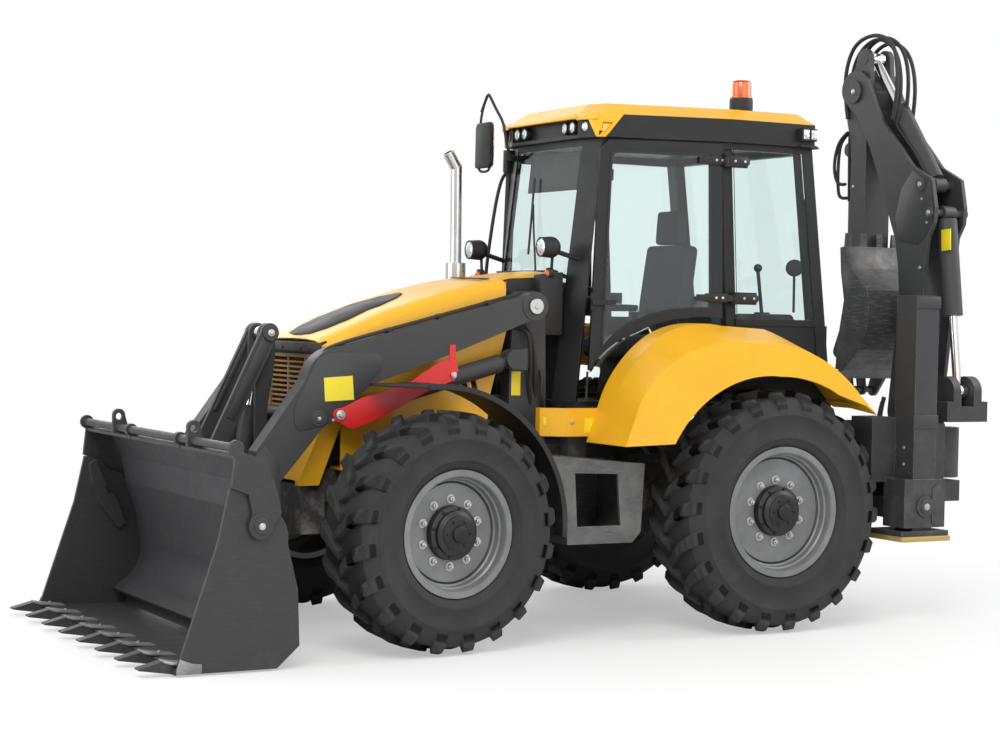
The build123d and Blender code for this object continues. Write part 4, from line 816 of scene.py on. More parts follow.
finished(bm, "amber_lenses", amber, "machine", smooth=30.0)
bm = bmesh.new()
spun(bm, [(40, 3040), (66, 3040), (70, 3060), (70, 3122), (67, 3136), (40, 3136)], BEACON, (0, 0, 1))
finished(bm, "beacon_foot", plastic, "machine")
print("lamps dressed")

# %% [markdown]
# The roof's front edge turns down over the work lamps as a yellow brow, and its corners wrap the
# black band. Each piece of it is a flat outline made thick and rounded at its rims.

# %% Roof brow and gutters
bm = bmesh.new()
for side in (1, -1):
    prism(bm, [(948, side * 562, 2990), (990, side * 402, 2990), (1008, side * 404, 2972),
               (966, side * 572, 2972)], (0, 0, -22), round_by=4)
    prism(bm, [(985, side * 480, 2990), (940, side * 570, 2990), (800, side * 612, 2990),
               (905, side * 582, 2850), (945, side * 540, 2850)], (10, side * 8, 0), round_by=3)
side_plate(bm, [(960, 2992), (1010, 2984), (1020, 2962), (1006, 2958), (960, 2974)], -404, 404, round_by=4)
finished(bm, "roof_brow", yellow, "machine", smooth=40.0)
bm = bmesh.new()
for side in (1, -1):
    side_plate(bm, [(-470, 2842), (-452, 2858), (-330, 2862), (-330, 2850)], *span(side, 700, 790),
               round_by=3)
    bar(bm, (-455, side * 770, 2856), (905, side * 590, 2856), 7)
finished(bm, "roof_gutters", plastic, "machine")

# %% [markdown]
# A work machine's mirror hangs in a loop of bent tube. A smooth curve led by a few points makes
# bent tube, stiff hydraulic pipe and free hose alike, so one helper draws the line for all three.

# %% Bent tubes


def round_line(name, points, radius):
    """A round curve, open at both ends, led by control points in millimetres."""
    line = bpy.data.curves.new(name, "CURVE")
    line.dimensions = "3D"
    line.bevel_depth = radius * MM
    line.bevel_resolution = 4
    line.resolution_u = 8
    line.use_fill_caps = True
    spline = line.splines.new("NURBS")
    spline.points.add(len(points) - 1)
    for point, place in zip(spline.points, points):
        point.co = (*spot(*place), 1.0)
    spline.order_u = 3
    spline.use_endpoint_u = True
    return line


def tube(name, points, radius, material, body):
    """A tube that stays stiff: the round curve, turned into a mesh."""
    shaped = placed(name + "_line", round_line(name, points, radius))
    bpy.context.view_layer.update()
    mesh = bpy.data.meshes.new_from_object(shaped.evaluated_get(bpy.context.evaluated_depsgraph_get()))
    bpy.data.objects.remove(shaped)
    mesh.name = name
    for face in mesh.polygons:
        face.use_smooth = True
    mesh.materials.clear()
    mesh.materials.append(material)
    thing = placed(name, mesh)
    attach(thing, body)
    return thing


# %% [markdown]
# The mirror's housing hangs in the inner loop, and its silvered face looks back. The face is the
# housing's outline drawn a little smaller, so that an even rim stays round it. A grab bar runs up
# the windscreen's edge on the same side.

# %% Mirror
tube("mirror_loop", [(1056, -672, 3080), (1056, -620, 3150), (1056, -590, 3185), (1056, -560, 3165),
                     (1056, -480, 3080), (1056, -395, 3005), (1052, -372, 2940), (1030, -372, 2830),
                     (1000, -385, 2790), (960, -420, 2770)], 9, plastic, "machine")
tube("mirror_hanger", [(1056, -590, 3180), (1056, -650, 3120), (1056, -690, 2990), (1056, -705, 2800),
                       (1056, -700, 2712), (1056, -620, 2700), (1056, -545, 2712), (1056, -520, 2800)],
     8, plastic, "machine")
MIRROR_X, MIRROR_Z = 1044, 2866
back = [(-705, 2725), (-540, 2725), (-528, 2740), (-522, 2985), (-536, 3008), (-690, 3008), (-712, 2985),
        (-716, 2742)]
bm = bmesh.new()
cross_plate(bm, back, MIRROR_X, MIRROR_X + 34, round_by=12)
housing = finished(bm, "mirror_housing", plastic, "machine")
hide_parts("mirror")
bm = bmesh.new()
cross_plate(bm, [(y * 0.97 - 18, (z - MIRROR_Z) * 0.92 + MIRROR_Z) for y, z in back], MIRROR_X - 4, MIRROR_X)
mirror_glass = polished("mirror_silver", (0.80, 0.82, 0.83), 0.03, (1, 1, 1))
finished(bm, "mirror_glass", mirror_glass, "machine")
tube("grab_bar", [(900, -560, 2720), (930, -600, 2700), (965, -615, 2560), (1000, -620, 2330),
                  (1030, -620, 2100), (1040, -600, 2030), (1060, -520, 2010)],
     11, plastic, "machine")
bm = bmesh.new()
bar(bm, (925, -520, 2790), (985, -410, 2785), 20)
side_plate(bm, oblong(905, 2700, 950, 2840), -575, -520, round_by=4)
finished(bm, "mirror_foot", plastic, "machine")
print("mirror and tubes made")

# %% [markdown]
# A loader arm is a plate box: a doubler stiffens its knee, pins with big washers carry it, and
# two steel pipes run along its top to the tilt ram. Blank coloured plates stand where a machine
# carries notices.

# %% Loader arm details
ARM_FACE = 580
ARM_FOOT_X, ARM_FOOT_Z = 1354, 1863
KNEE = [(2694, 1556), (2640, 1584), (2560, 1592), (2352, 1584), (2322, 1566), (2308, 1530), (2316, 1500),
        (2432, 1372), (2530, 1300), (2610, 1216), (2650, 1196), (2780, 1168), (2812, 1180), (2826, 1215),
        (2822, 1300)]
NOSE = [(2905, 1000), (2990, 1090), (3038, 1040), (3036, 880), (3004, 420), (2985, 330), (2875, 330),
        (2880, 480)]
doublers, pins, marks = bmesh.new(), bmesh.new(), bmesh.new()
for side in (1, -1):
    side_plate(doublers, KNEE, *span(side, ARM_FACE, ARM_FACE + 5), round_by=2)
    side_plate(doublers, NOSE, *span(side, ARM_FACE, ARM_FACE + 4), round_by=2)
    side_round(doublers, side, (2684, ARM_FACE + 4, 1234), 42, 7)
    side_round(doublers, side, (2684, ARM_FACE + 10, 1234), 26, 6)
    side_bolt(pins, side, (2684, ARM_FACE + 15, 1234), 8, 7)
    side_bolt(pins, side, (2598, ARM_FACE + 5, 1225), 7, 6)
    side_round(doublers, side, (ARM_FOOT_X, ARM_FACE - 2, ARM_FOOT_Z), 82, 8)
    side_round(pins, side, (ARM_FOOT_X, ARM_FACE + 14, ARM_FOOT_Z), 44, 8)
    side_round(pins, side, (ARM_FOOT_X, ARM_FACE + 21, ARM_FOOT_Z), 17, 8, segments=6)
    side_round(doublers, side, (2930, ARM_FACE, 330), 58, 7)
    side_round(pins, side, (2565, ARM_FACE + 26, 1254), 27, 5)
    side_bolt(pins, side, (2565, ARM_FACE + 30, 1254), 13, 13)
    side_bolt(pins, side, (1881, ARM_FACE + 26, 1471), 13, 13)
side_plate(marks, [(2659, 1454), (2489, 1466), (2478, 1335), (2650, 1326)], ARM_FACE + 5.5, ARM_FACE + 7.5)
finished(doublers, "arm_doublers", grey, "loader_arms")
finished(pins, "arm_pins", zinc, "loader_arms")
finished(marks, "arm_blank_plate", warning_yellow, "loader_arms")
for k, (y, lift) in enumerate(((560, 14), (536, 15))):
    for side, word in SIDES:
        run = [(1440, y, 1921 + lift), (1560, y, 1887 + lift), (2400, y, 1668 + lift), (2560, y, 1622 + lift),
               (2660 - 14 * k, y, 1585 + lift), (2690, y - 20, 1500), (2712, y - 60, 1440)]
        tube(f"arm_pipe_{word}_{k}", [(x, side * out, z) for x, out, z in run],
             8.5, plastic, "loader_arms")
ARM_SLOPE = 0.2628
bm = bmesh.new()
for side in (1, -1):
    for x in (1640, 1950, 2260):
        z = ARM_FOOT_Z + 78 - (x - ARM_FOOT_X) * ARM_SLOPE
        side_plate(bm, [(x - 16, z - 2), (x + 16, z - 10), (x + 16, z + 22), (x - 16, z + 30)],
                   *span(side, 520, 574), round_by=3)
finished(bm, "arm_pipe_clamps", plastic, "loader_arms")
print("arms dressed")

# %% [markdown]
# The tilt lever and the tilt link meet at one pin between the arms. A cap with a bolt closes the
# pin, and ribs stiffen both faces of the link's plates. Each piece rides on the body it is fixed
# to, so the caps turn with the lever and the ribs with the link.

# %% Tilt linkage details
INNER_RIB = [(2800, 1690), (2822, 1690), (3030, 1246), (3008, 1246)]
OUTER_RIB = [(2748, 1700), (2800, 1725), (3034, 1222), (2988, 1200)]
caps, steel = bmesh.new(), bmesh.new()
for side in (1, -1):
    side_round(caps, side, (2783, 134, 1687), 46, 8)
    side_round(steel, side, (2783, 141, 1687), 20, 6)
    side_bolt(steel, side, (2783, 146, 1687), 9, 8)
finished(caps, "lever_caps", grey, "tilt_lever")
finished(steel, "lever_cap_bolts", zinc, "tilt_lever")
bm = bmesh.new()
for side in (1, -1):
    side_plate(bm, INNER_RIB, side * 96, side * 84, round_by=2)
    side_plate(bm, OUTER_RIB, side * 123, side * 129, round_by=2)
finished(bm, "link_ribs", grey, "tilt_link")

# %% [markdown]
# The bucket's side carries the pivot of its clam: a big boss with a bolt in its middle. Each
# tooth sits on an adapter with a bolt, short edge plates fill the gaps between the adapters, a
# bolted plate guards each lower corner, and four ribs stiffen the back.

# %% Front bucket details
TOOTH_PITCH = 320
CLAM_X, CLAM_Z = 3266, 735
RIB = [(3170, 915), (3240, 1052), (3210, 1052), (3140, 900), (3060, 610), (3030, 400), (3052, 400),
       (3088, 600)]
bosses, screws = bmesh.new(), bmesh.new()
for side in (1, -1):
    side_round(bosses, side, (CLAM_X, 1220, CLAM_Z), 66, 8, round_by=3)
    side_round(bosses, side, (CLAM_X, 1227, CLAM_Z), 40, 10, round_by=3)
    side_bolt(screws, side, (CLAM_X, 1236, CLAM_Z), 13, 8)
finished(bosses, "bucket_bosses", bucket_steel, "loader_bucket")
finished(screws, "bucket_boss_bolts", zinc, "loader_bucket")
bm = bmesh.new()
for side in (1, -1):
    side_plate(bm, [(3672, 90), (3692, 36), (3692, 13), (3560, 13), (3560, 60), (3610, 66)],
               *span(side, 1196, 1204), round_by=2)
    side_bolt(bm, side, (3640, 1203, 40), 10, 8)
for y in range(-1120, 1121, TOOTH_PITCH):
    prism(bm, [(3560, y - 46, 41), (3700, y - 44, 56), (3745, y - 34, 70), (3745, y + 34, 70),
               (3700, y + 44, 56), (3560, y + 46, 41)], (0, 0, 14), round_by=4)
    bolt(bm, (3640, y, 66), (0, 0, 1), size=9, proud=8)
finished(bm, "clam_wear_parts", tooth_steel, "bucket_clam")
bm = bmesh.new()
for y in range(-1080, 1080, TOOTH_PITCH):
    side_plate(bm, [(3560, 40), (3690, 42), (3696, 50), (3560, 50)], y, y + 260, round_by=2)
finished(bm, "clam_edge_plates", bucket_steel, "bucket_clam")
bm = bmesh.new()
for y in (-1000, -720, 720, 1000):
    side_plate(bm, RIB, y - 9, y + 9, round_by=2)
for side in (1, -1):
    bar(bm, (3402, side * 380, 1126), (3402, side * 420, 1126), 34)
finished(bm, "bucket_ribs", bucket_steel, "loader_bucket")
print("bucket dressed")

# %% [markdown]
# The tower stands between the hood and the cab. Hoses leave it in short curves, and blank plates
# and bolts stand on its side. A black scuttle closes the gap between the hood and the windscreen,
# and the wiper lies against the glass.

# %% Tower, scuttle and wiper
TOWER_FACE, CAB_FACE = 465, 738
marks = bmesh.new()
side_plate(marks, oblong(1345, 1500, 1432, 1618), TOWER_FACE, TOWER_FACE + 2)
finished(marks, "tower_white_plate", plate_white, "machine")
marks = bmesh.new()
side_plate(marks, oblong(1378, 1352, 1438, 1490), TOWER_FACE, TOWER_FACE + 2)
prism(marks, [(1300, 697, 1195), (1345, 678, 1195), (1345, 678, 1240), (1300, 697, 1240)], (1, 2, 0))
side_plate(marks, oblong(1050, 1150, 1110, 1235), CAB_FACE, CAB_FACE + 2)
finished(marks, "yellow_plates", warning_yellow, "machine")
bm = bmesh.new()
for x in (1010, 1190):
    for side in (1, -1):
        side_bolt(bm, side, (x, CAB_FACE, 1210), 9, 7)
for side in (1, -1):
    for x, z, size in ((1225, 1000, 12), (1320, 700, 14), (1400, 700, 14)):
        side_bolt(bm, side, (x, TOWER_FACE, z), size, size - 2)
finished(bm, "side_bolts", zinc, "machine")
HOSE_RUNS = [
    [(1425, 462, 1780), (1380, 500, 1770), (1330, 505, 1700), (1300, 495, 1560), (1290, 480, 1420),
     (1270, 440, 1300)],
    [(1425, 470, 1740), (1370, 515, 1735), (1345, 520, 1640), (1335, 500, 1500), (1325, 480, 1360),
     (1300, 440, 1260)],
    [(1250, 466, 1500), (1245, 490, 1450), (1262, 500, 1380), (1240, 490, 1290), (1215, 440, 1210)],
]
for k, run in enumerate(HOSE_RUNS):
    for side, word in SIDES:
        tube(f"tower_hose_{word}_{k}", [(x, side * y, z) for x, y, z in run], 11, seal_rubber, "machine")
bm = bmesh.new()
POST = [(1240, 1700), (1090, 1700), (1090, 2066), (1240, 2048)]
CHEEK = [(1095, 1940), (1462, 1890), (1462, 2010), (1400, 2022), (1095, 2040)]
for outline, outer, round_by in ((POST, 436, 4), (CHEEK, 356, 1)):
    for side in (1, -1):
        side_plate(bm, outline, *span(side, 352, outer), round_by=round_by)
finished(bm, "scuttle_panels", plastic, "machine")
bm = bmesh.new()
prism(bm, [(1080, -360, 2066), (1100, -360, 2070), (1100, 360, 2070), (1080, 360, 2066)], (0, 0, 10),
      round_by=3)
for y in (-180, 180):
    bar(bm, (1052, y, 2010), (1075, y, 2030), 14)
finished(bm, "scuttle_trim", plastic, "machine")
tube("wiper_arm", [(1060, 60, 2020), (1052, 40, 2120), (1025, -40, 2330), (1000, -90, 2480)],
     6, plastic, "machine")
tube("wiper_blade", [(1046, -60, 2180), (1010, -88, 2430), (984, -110, 2640)],
     7, seal_rubber, "machine")
print("tower dressed")

# %% [markdown]
# A door's fittings are drawn once in the door's own plane, measured from its hinge line, and then
# turned onto each door: a rubber seal round the pane, two hinge straps and their bolts. Drawn
# straight onto the slanting doors, every corner would have to be worked out twice.

# %% Door fittings
DOOR_HINGE, DOOR_FRONT = (150, 740), (960, 520)
HINGE_LEVELS = (1935, 2740)
PANE = [(105, 1870), (215, 1867), (345, 1856), (480, 1822), (590, 1776), (650, 1744), (710, 1704),
        (745, 1668), (775, 1630), (768, 1850), (740, 2740), (728, 2766), (705, 2775), (150, 2775),
        (128, 2760)]
PANE_MIDDLE = (440, 2300)


def on_door(draw, side):
    """Turn what a function draws in the door's own plane onto that door."""
    bm = bmesh.new()
    draw(bm)
    angle = math.atan2(DOOR_FRONT[1] - DOOR_HINGE[1], DOOR_FRONT[0] - DOOR_HINGE[0])
    place = Matrix.Translation(spot(*DOOR_HINGE, 0)) @ Matrix.Rotation(angle, 4, "Z")
    place = place @ Matrix.Translation(-spot(0, 0, 0))
    if side < 0:
        place = Matrix.Scale(-1, 4, (0, 1, 0)) @ place
    bmesh.ops.transform(bm, verts=bm.verts, matrix=place)
    return bm


def pane_seal(bm):
    """A flat rubber ring along the pane's edge: four rings of edges, bridged one to the next."""
    x0, z0 = PANE_MIDDLE
    inner = [(x0 + (x - x0) * 0.955, z0 + (z - z0) * 0.975) for x, z in PANE]
    rings = []
    for line, y in ((PANE, 30), (PANE, 37), (inner, 37), (inner, 30)):
        verts = [bm.verts.new(spot(x, y, z)) for x, z in line]
        rings.append([bm.edges.new((verts[step - 1], verts[step])) for step in range(len(verts))])
    for near, far in zip(rings, rings[1:] + rings[:1]):
        bmesh.ops.bridge_loops(bm, edges=near + far)


def door_metal(bm):
    for z, near, far in zip(HINGE_LEVELS, (40, 58), (80, 96)):
        for x in (near, far):
            bolt(bm, (x, 46, z), (0, 1, 0), size=6, proud=6)
    bolt(bm, (800, 50, 1896), (0, 1, 0), size=8, proud=7)


def door_strap(bm):
    for z, x0 in zip(HINGE_LEVELS, (8, 20)):
        x1 = x0 + 157
        prism(bm, [(x0, 34, z - 26), (x1 - 20, 34, z - 26), (x1, 34, z - 10), (x1, 34, z + 10),
                   (x1 - 20, 34, z + 26), (x0, 34, z + 26)], (0, 13, 0), round_by=3)


for side, word in SIDES:
    finished(on_door(pane_seal, side), "door_seal_" + word, seal_rubber, "door_" + word)
    finished(on_door(door_strap, side), "door_straps_" + word, plastic, "door_" + word)
    finished(on_door(door_metal, side), "door_bolts_" + word, zinc, "door_" + word)
straps, screws = bmesh.new(), bmesh.new()
for side in (1, -1):
    for z, x in zip(HINGE_LEVELS, (120, 205)):
        side_plate(straps, [(x - 180, z - 14), (x - 160, z - 28), (x - 20, z - 28), (x - 20, z + 28),
                            (x - 160, z + 28), (x - 180, z + 14)], side * 765, side * 771, round_by=2)
        for back in (145, 75):
            side_bolt(screws, side, (x - back, 771, z), 6, 5)
finished(straps, "hinge_straps", plastic, "machine")
finished(screws, "hinge_bolts", zinc, "machine")
print("doors dressed")

# %% [markdown]
# The backhoe is built from plain plates and castings. Caps over the pins, bolts, doubler plates and
# the blank plate on the boom's ram give it the detail that the solid parts leave out.

# %% Pin caps and plates on the boom and dipper
SLEW_X = -1500
BOOM_HALF, DIPPER_HALF = 130, 100
HEEL_PLATE = [(480, 1500), (640, 1500), (672, 1760), (560, 1800), (486, 1760)]
BEND_PLATE = [(455, 2330), (640, 2300), (718, 2372), (768, 2448), (774, 2530), (738, 2690), (574, 2770),
              (470, 2660), (416, 2480)]


def hoe_round(bm, side, at, out, radius, thick, segments=28):
    """A round plate on a side of the boom or dipper, at (y, z), out from its middle plane."""
    round_plate(bm, (SLEW_X + side * out, *at), (side, 0, 0), radius, thick, segments)


def hoe_bolt(bm, side, at, out, size, proud):
    bolt(bm, (SLEW_X + side * out, *at), (side, 0, 0), size, proud)


caps, heads, doubled = bmesh.new(), bmesh.new(), bmesh.new()
for side in (1, -1):
    face = SLEW_X + side * BOOM_HALF
    for at, radius in (((500, 1250), 72), ((-27, 3316), 74), ((750, 2500), 34), ((660, 2680), 46)):
        hoe_round(caps, side, at, BOOM_HALF + 4, radius, 12, segments=32)
        hoe_bolt(heads, side, at, BOOM_HALF + 16, 13, 9)
    for at in ((669, 2590), (722, 2440), (663, 2158), (560, 1941), (575, 1560)):
        hoe_bolt(heads, side, at, BOOM_HALF, 9, 8)
    for outline, thick in ((HEEL_PLATE, 7), (BEND_PLATE, 5)):
        cross_plate(doubled, outline, *sorted((face, face + side * thick)), round_by=2)
boom_caps = finished(caps, "boom_caps", hoe_grey, "boom")
finished(heads, "boom_bolts", zinc, "boom")
finished(doubled, "boom_doublers", hoe_grey, "boom")

caps, heads = bmesh.new(), bmesh.new()
for side in (1, -1):
    for at, out, radius in (((-50, 1850), 126, 36), ((0, 1600), 156, 40)):
        hoe_round(caps, side, at, out, radius, 10)
        hoe_bolt(heads, side, at, out + 10, 10, 8)
    hoe_round(caps, side, (20, 3530), DIPPER_HALF, 40, 3)
    for at in ((-60, 2700), (-40, 2250)):
        hoe_bolt(heads, side, at, DIPPER_HALF, 8, 7)
dipper_caps = finished(caps, "dipper_caps", hoe_grey, "dipper")
finished(heads, "dipper_bolts", zinc, "dipper")
print("backhoe caps:", len(boom_caps.data.polygons) + len(dipper_caps.data.polygons))

# %% [markdown]
# The blank plate lies on the boom ram's barrel and rides with it, so it swings as the boom moves.

# %% Blank plate on the boom's ram
bm = bmesh.new()
cross_plate(bm, [(786, 2262), (868, 2268), (862, 2400), (780, 2394)], SLEW_X + 58, SLEW_X + 66, round_by=1)
ram_plate = finished(bm, "ram_plate", warning_yellow, "boom_barrel")
print(ram_plate.name, len(ram_plate.data.polygons), "faces")

# %% [markdown]
# Each stabiliser stands in a tall tube, with a casting and a bolted cap low on its outer side, two
# straps higher up and a worn pad under the leg. The pad rides on the leg, so it goes down with it.

# %% Stabiliser castings and pads
OUTER = 1182
CASTING = [(-1150, 610), (-1110, 592), (-1070, 610), (-1062, 700), (-1070, 820), (-1110, 842), (-1150, 820),
           (-1158, 700)]
castings, fixings = bmesh.new(), bmesh.new()
for side in (1, -1):
    side_round(castings, side, (-1012, OUTER, 712), 62, 14)
    side_round(castings, side, (-1012, OUTER + 14, 712), 40, 10)
    side_bolt(fixings, side, (-1012, OUTER + 24, 712), 15, 10)
    side_plate(castings, CASTING, *span(side, OUTER, OUTER + 8), round_by=3)
    for low, high in ((1180, 1260), (1900, 1968)):
        side_plate(castings, oblong(-1108, low, -922, high), *span(side, OUTER - 12, OUTER - 5), round_by=2)
    for z in (960, 1060):
        bolt(fixings, (-930, side * 1078, z), (1, 0, 0), 10, 8)
finished(castings, "stabiliser_castings", hoe_grey, "machine")
finished(fixings, "stabiliser_bolts", zinc, "machine")
PAD = [(-1205, 890), (-1180, 878), (-850, 878), (-826, 890), (-826, 1200), (-850, 1212), (-1180, 1212),
       (-1205, 1200)]
for side, word in SIDES:
    bm = bmesh.new()
    prism(bm, [(x, side * y, 504) for x, y in PAD], (0, 0, 30), round_by=6)
    finished(bm, "stabiliser_pad_" + word, pad_steel, "stabiliser_leg_" + word)
print("stabilisers dressed")

# %% [markdown]
# Four hydraulic hoses arc over the dipper's head. They are free between the boom and the dipper,
# so each one stays a single open curve, and its length is measured along it.

# %% Hoses over the dipper's head


def hose(name, points, radius, body):
    """A free hose as one open curve; it returns the length measured along it."""
    line = round_line(name, points, radius)
    line.materials.append(seal_rubber)
    thing = placed(name, line)
    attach(thing, body)
    length = line.splines[0].calc_length()
    return length


HEAD_RUNS = [
    [(-1398, 330, 3112), (-1392, 372, 3250), (-1390, 376, 3420), (-1396, 330, 3590), (-1400, 200, 3664),
     (-1402, 60, 3676), (-1400, -80, 3630), (-1394, -150, 3500), (-1388, -160, 3330), (-1388, -120, 3150)],
    [(-1440, 320, 3080), (-1440, 350, 3250), (-1442, 346, 3420), (-1444, 290, 3560), (-1446, 180, 3640),
     (-1448, 60, 3656), (-1446, -70, 3600), (-1442, -146, 3480), (-1438, -152, 3330), (-1440, -118, 3200)],
    [(-1500, 320, 3080), (-1500, 352, 3240), (-1500, 350, 3430), (-1498, 296, 3570), (-1496, 190, 3652),
     (-1496, 70, 3668), (-1498, -60, 3622), (-1500, -150, 3490), (-1502, -156, 3340), (-1500, -118, 3200)],
    [(-1560, 320, 3080), (-1560, 350, 3230), (-1558, 344, 3400), (-1556, 290, 3540), (-1554, 180, 3622),
     (-1554, 60, 3640), (-1556, -70, 3590), (-1560, -146, 3470), (-1562, -152, 3320), (-1560, -118, 3200)],
]
hoses = [hose("head_hose_" + str(number), points, 13, "boom") for number, points in enumerate(HEAD_RUNS, 1)]
print("head hoses, metres:", [round(length, 2) for length in hoses])

# %% [markdown]
# Shorter pipes stay stiff: four along the boom and four along the dipper carry the hoses on, and
# two loops hang beside the dipper. They are made meshes, so each one simply rides on its body.

# %% Pipes on the boom and dipper
BOOM_PIPE = [(604, 2760), (520, 2880), (420, 2975), (330, 3060), (290, 3120), (300, 3180)]
DIPPER_PIPE = [(-118, 3240), (-150, 3150), (-160, 3031), (-158, 2900), (-150, 2610)]
for number, x in enumerate((-1442, -1474, -1526, -1558), 1):
    tube("boom_pipe_" + str(number), [(x, *at) for at in BOOM_PIPE], 11, seal_rubber, "boom")
for number, x in enumerate((-1440, -1480, -1520, -1560), 1):
    tube("dipper_pipe_" + str(number), [(x, *at) for at in DIPPER_PIPE], 11, seal_rubber, "dipper")

for number, (x, reach, low) in enumerate(((-1378, -236, 2700), (-1392, -214, 2610)), 1):
    loop = [(x - 22, -128, 3060), (x - 6, -190, 3020), (x, reach, 2900), (x, reach, low + 90),
            (x - 6, -196, low + 10), (x - 22, -140, low + 20)]
    tube("dipper_loop_" + str(number), loop, 11, seal_rubber, "dipper")
print("pipes made")

# %% [markdown]
# Four thicker hoses hang in a curve beside the kingpost. They ride on the carriage, so they slide
# with it when the backhoe shifts sideways.

# %% Slew hoses beside the kingpost
for number, (x, y0, z0, low) in enumerate(((-1330, 395, 1335, 940), (-1345, 360, 1300, 900),
                                           (-1330, 640, 1180, 860), (-1320, 700, 1120, 830)), 1):
    tube("slew_hose_" + str(number), [(x, y0, z0), (x + 26, y0 - 18, z0 - 120), (x + 34, y0 + 20, low + 60),
                                       (x + 20, y0 + 50, low), (x - 10, y0 + 90, low + 40)],
         14, seal_rubber, "carriage")
print("slew hoses made")

# %% [markdown]
# The cab holds a seat, a steering wheel on its column, two control towers for the backhoe, a fan
# and a sun visor. They stand where the solid parts of the interior stand.

# %% Seat base, column and towers
bm = bmesh.new()
side_plate(bm, [(120, 1292), (480, 1292), (470, 1420), (440, 1560), (140, 1560), (110, 1420)], -180, 180, 14)
side_plate(bm, [(836, 1292), (990, 1292), (984, 1650), (940, 1812), (828, 1812), (822, 1650)], -165, 165, 18)
bar(bm, (925, 0, 1350), (804, 0, 1950), 48, end=36)
for side in (1, -1):
    side_plate(bm, [(-498, 1292), (-152, 1292), (-152, 1800), (-200, 1848), (-470, 1848), (-498, 1800)],
               *span(side, 332, 558), round_by=16)
    side_plate(bm, oblong(122, 1600, 178, 1850), *span(side, 255, 298), 6)
    bar(bm, (-330, side * 430, 1840), (-300, side * 420, 2116), 11)
    round_plate(bm, (-330, side * 430, 1842), (0, 0, 1), 48, 16)
cab_stand = finished(bm, "cab_stand", plastic, "machine")
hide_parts("cab_interior")
print("cab stand:", len(cab_stand.data.polygons), "faces")

# %% [markdown]
# The cushions are drawn as crowned, closed forms: a rounded block whose two wide faces swell
# outwards, most in the middle. Bevelling the block first gives every edge the same radius, and
# subdividing it then gives the faces enough points to swell.

# %% Cushions
cloth = paint("seat_cloth", (0.030, 0.030, 0.033), gloss=0.85, dust=0.06, grain=1.0)


def cushion(name, low, high, crown, lean=0.0):
    """A crowned pad between two corners in millimetres, leaning back by an angle in degrees."""
    bm = bmesh.new()
    bmesh.ops.create_cube(bm, size=1.0)
    low, high = Vector(low), Vector(high)
    middle, extent = (low + high) / 2, high - low
    bmesh.ops.scale(bm, verts=bm.verts, vec=extent)
    soften(bm, bm.edges, min(extent) * 0.30, segments=4)
    bmesh.ops.subdivide_edges(bm, edges=bm.edges[:], cuts=3, use_grid_fill=True)
    thin = min(range(3), key=lambda axis: extent[axis])
    wide = [axis for axis in range(3) if axis != thin]
    turn = Matrix.Rotation(math.radians(lean), 3, "Y")
    for vert in bm.verts:
        across = [2 * vert.co[axis] / extent[axis] for axis in wide]
        swell = (1 - across[0] ** 2) * (1 - across[1] ** 2)
        vert.co[thin] += crown * swell * 2 * vert.co[thin] / extent[thin]
        vert.co = spot(*(turn @ vert.co + middle))
    thing = finished(bm, name, cloth, "machine", smooth=60.0)
    return thing


seat_pads = [
    cushion("seat_cushion", (64, -246, 1566), (556, 246, 1690), crown=16),
    cushion("seat_back", (36, -226, 1700), (142, 226, 2262), crown=14, lean=-8),
    cushion("seat_head", (22, -126, 2266), (98, 126, 2474), crown=8, lean=-4),
    cushion("arm_rest_left", (120, 264, 1852), (420, 328, 1890), crown=4),
    cushion("arm_rest_right", (120, -328, 1852), (420, -264, 1890), crown=4),
]
print("seat pads:", len(seat_pads))

# %% [markdown]
# The steering wheel is a ring on three spokes, tilted towards the seat. A ready-made torus would
# do, but a small circle, spun, keeps the ring's two sizes as named numbers.

# %% Steering wheel
bm = bmesh.new()
LEAN = math.radians(25)
tilt = Vector((-math.sin(LEAN), 0, math.cos(LEAN)))
wheel_centre = Vector((787, 0, 1998))
RING, GRIP = 176, 13
turns = [step * math.tau / 12 for step in range(12)]
spun(bm, [(RING + GRIP * math.cos(turned), GRIP * math.sin(turned)) for turned in turns],
     spot(*wheel_centre), tilt)
round_plate(bm, wheel_centre - tilt * 26, tilt, 40, 26)
for step in range(3):
    spoke = tilt.orthogonal().normalized()
    spoke.rotate(Matrix.Rotation(math.radians(120 * step + 60), 3, tilt))
    bar(bm, wheel_centre + spoke * 20 - tilt * 8, wheel_centre + spoke * 174, 9, segments=10)
steering_wheel = finished(bm, "steering_wheel", plastic, "machine")
print("steering wheel:", len(steering_wheel.data.polygons), "faces")

# %% [markdown]
# Small things fill the rest of the cab: knobs on the levers, a fan behind the seat, a sun visor
# under the roof and a mirror beside it. Seen through tinted glass, plain shapes are enough.

# %% Knobs, fan, visor and inner mirror
bm = bmesh.new()
for x, y, z, radius in ((-300, 420, 2128, 26), (-300, -420, 2128, 26), (905, -150, 1902, 18)):
    bmesh.ops.create_uvsphere(bm, u_segments=20, v_segments=12, radius=radius * MM,
                              matrix=Matrix.Translation(spot(x, y, z)))
bar(bm, (905, -150, 1810), (905, -150, 1895), 7, segments=12)
fan_axis = Vector((0.5, 0.8, 0.0)).normalized()
fan_centre = Vector((-440, 600, 2130))
round_plate(bm, fan_centre, fan_axis, 52, 40, round_by=10)
bar(bm, fan_centre + fan_axis * 10, (-440, 604, 1860), 8, segments=12)
side_plate(bm, [(884, 2560), (904, 2560), (880, 2790), (860, 2790)], -330, 250, 6)
side_plate(bm, [(780, 2600), (800, 2604), (792, 2680), (772, 2676)], -480, -360, 5)
bar(bm, (786, -420, 2670), (810, -420, 2800), 7, segments=12)
finished(bm, "cab_fittings", plastic, "machine")
print("cab fitted out")

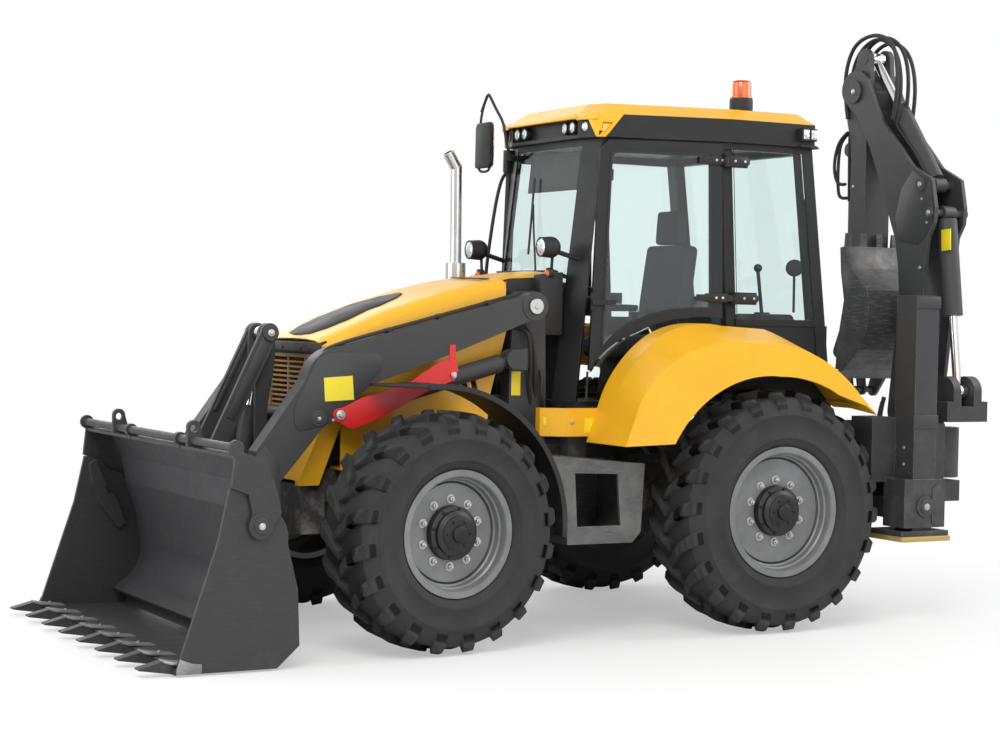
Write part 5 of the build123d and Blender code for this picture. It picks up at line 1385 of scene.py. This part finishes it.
# %% [markdown]
# A front mudguard is an arched strip with a deeper outer rim. Its front end narrows to a leaf that
# reaches in over the loader arm, and a tube from the tower carries it.

# %% Front mudguards
bm = bmesh.new()
GUARD_X, GUARD_Z = 2150, 648
GUARD_INNER, GUARD_RIM, GUARD_OUTER = 622, 984, 1000


def on_guard(radius):
    """The guard's arc at a radius, in steps from behind the wheel to just ahead of its top."""
    turns = [math.radians(184 - 5 * step) for step in range(21)]
    return [(GUARD_X + radius * math.cos(turned), GUARD_Z + radius * math.sin(turned)) for turned in turns]


for side in (1, -1):
    side_plate(bm, on_guard(786) + on_guard(770)[::-1], *span(side, GUARD_INNER, GUARD_RIM))
    side_plate(bm, on_guard(789) + on_guard(760)[::-1], *span(side, GUARD_RIM, GUARD_OUTER))
    leaf = [(2225, 622), (2405, 622), (2412, 690), (2330, 860), (2250, 1000), (2225, 1000)]
    prism(bm, [(x, side * y, 1412) for x, y in leaf], (0, 0, 17), round_by=3)
    bar(bm, (1510, side * 445, 1165), (1510, side * 640, 1165), 27)
    side_plate(bm, [(1478, 1124), (1545, 1124), (1560, 1180), (1500, 1196), (1470, 1180)],
               *span(side, 612, 640), round_by=2)
    side_plate(bm, oblong(1452, 1132, 1543, 1198), *span(side, 445, 470), 2)
mudguards = finished(bm, "mudguards", plastic, "machine")
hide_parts("front_mudguards")
print("mudguards:", len(mudguards.data.polygons))

# %% [markdown]
# The floor and the backdrop are staging. The floor shows white to the camera and keeps only the
# machine's shadow, as a cut-out picture does.

# %% Floor
bm = bmesh.new()
bmesh.ops.create_grid(bm, x_segments=1, y_segments=1, size=30.0)
floor_mesh = bpy.data.meshes.new("floor")
bm.to_mesh(floor_mesh)
bm.free()
floor = placed("floor", floor_mesh)
f = Finish("floor")
f.shade("Base Color", (0.93, 0.93, 0.93))
f.shade("Roughness", 0.55)
glow = f.node("ShaderNodeEmission")
glow.inputs["Color"].default_value = (1, 1, 1, 1)
glow.inputs["Strength"].default_value = 1.0
away = f.node("ShaderNodeVectorMath", operation="LENGTH")
f.link(f.place, away.inputs[0])
far = f.node("ShaderNodeMapRange", interpolation_type="SMOOTHSTEP")
for socket, value in (("From Min", 2.2), ("From Max", 5.2), ("To Min", 0.42), ("To Max", 1.0)):
    far.inputs[socket].default_value = value
f.link(away.outputs["Value"], far.inputs["Value"])
ray = f.node("ShaderNodeLightPath")
shown = f.math("MAXIMUM", ray.outputs["Is Camera Ray"], ray.outputs["Is Transmission Ray"])
blend = f.node("ShaderNodeMixShader")
f.link(f.math("MULTIPLY", shown, far.outputs["Result"]), blend.inputs[0])
f.link(f.shader.outputs[0], blend.inputs[1])
f.link(glow.outputs[0], blend.inputs[2])
f.link(blend.outputs[0], f.tree.nodes["Material Output"].inputs["Surface"])
floor_mesh.materials.append(f.material)
floor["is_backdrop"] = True
print("floor staged")

# %% [markdown]
# The last step prints the box of the bare frame and the box of the dressed machine, so that
# the two can be compared.

# %% Size and finish
size = {"cad": [list(corner) for corner in cad_box], "visual": [list(corner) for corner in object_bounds()]}
print("size", size)
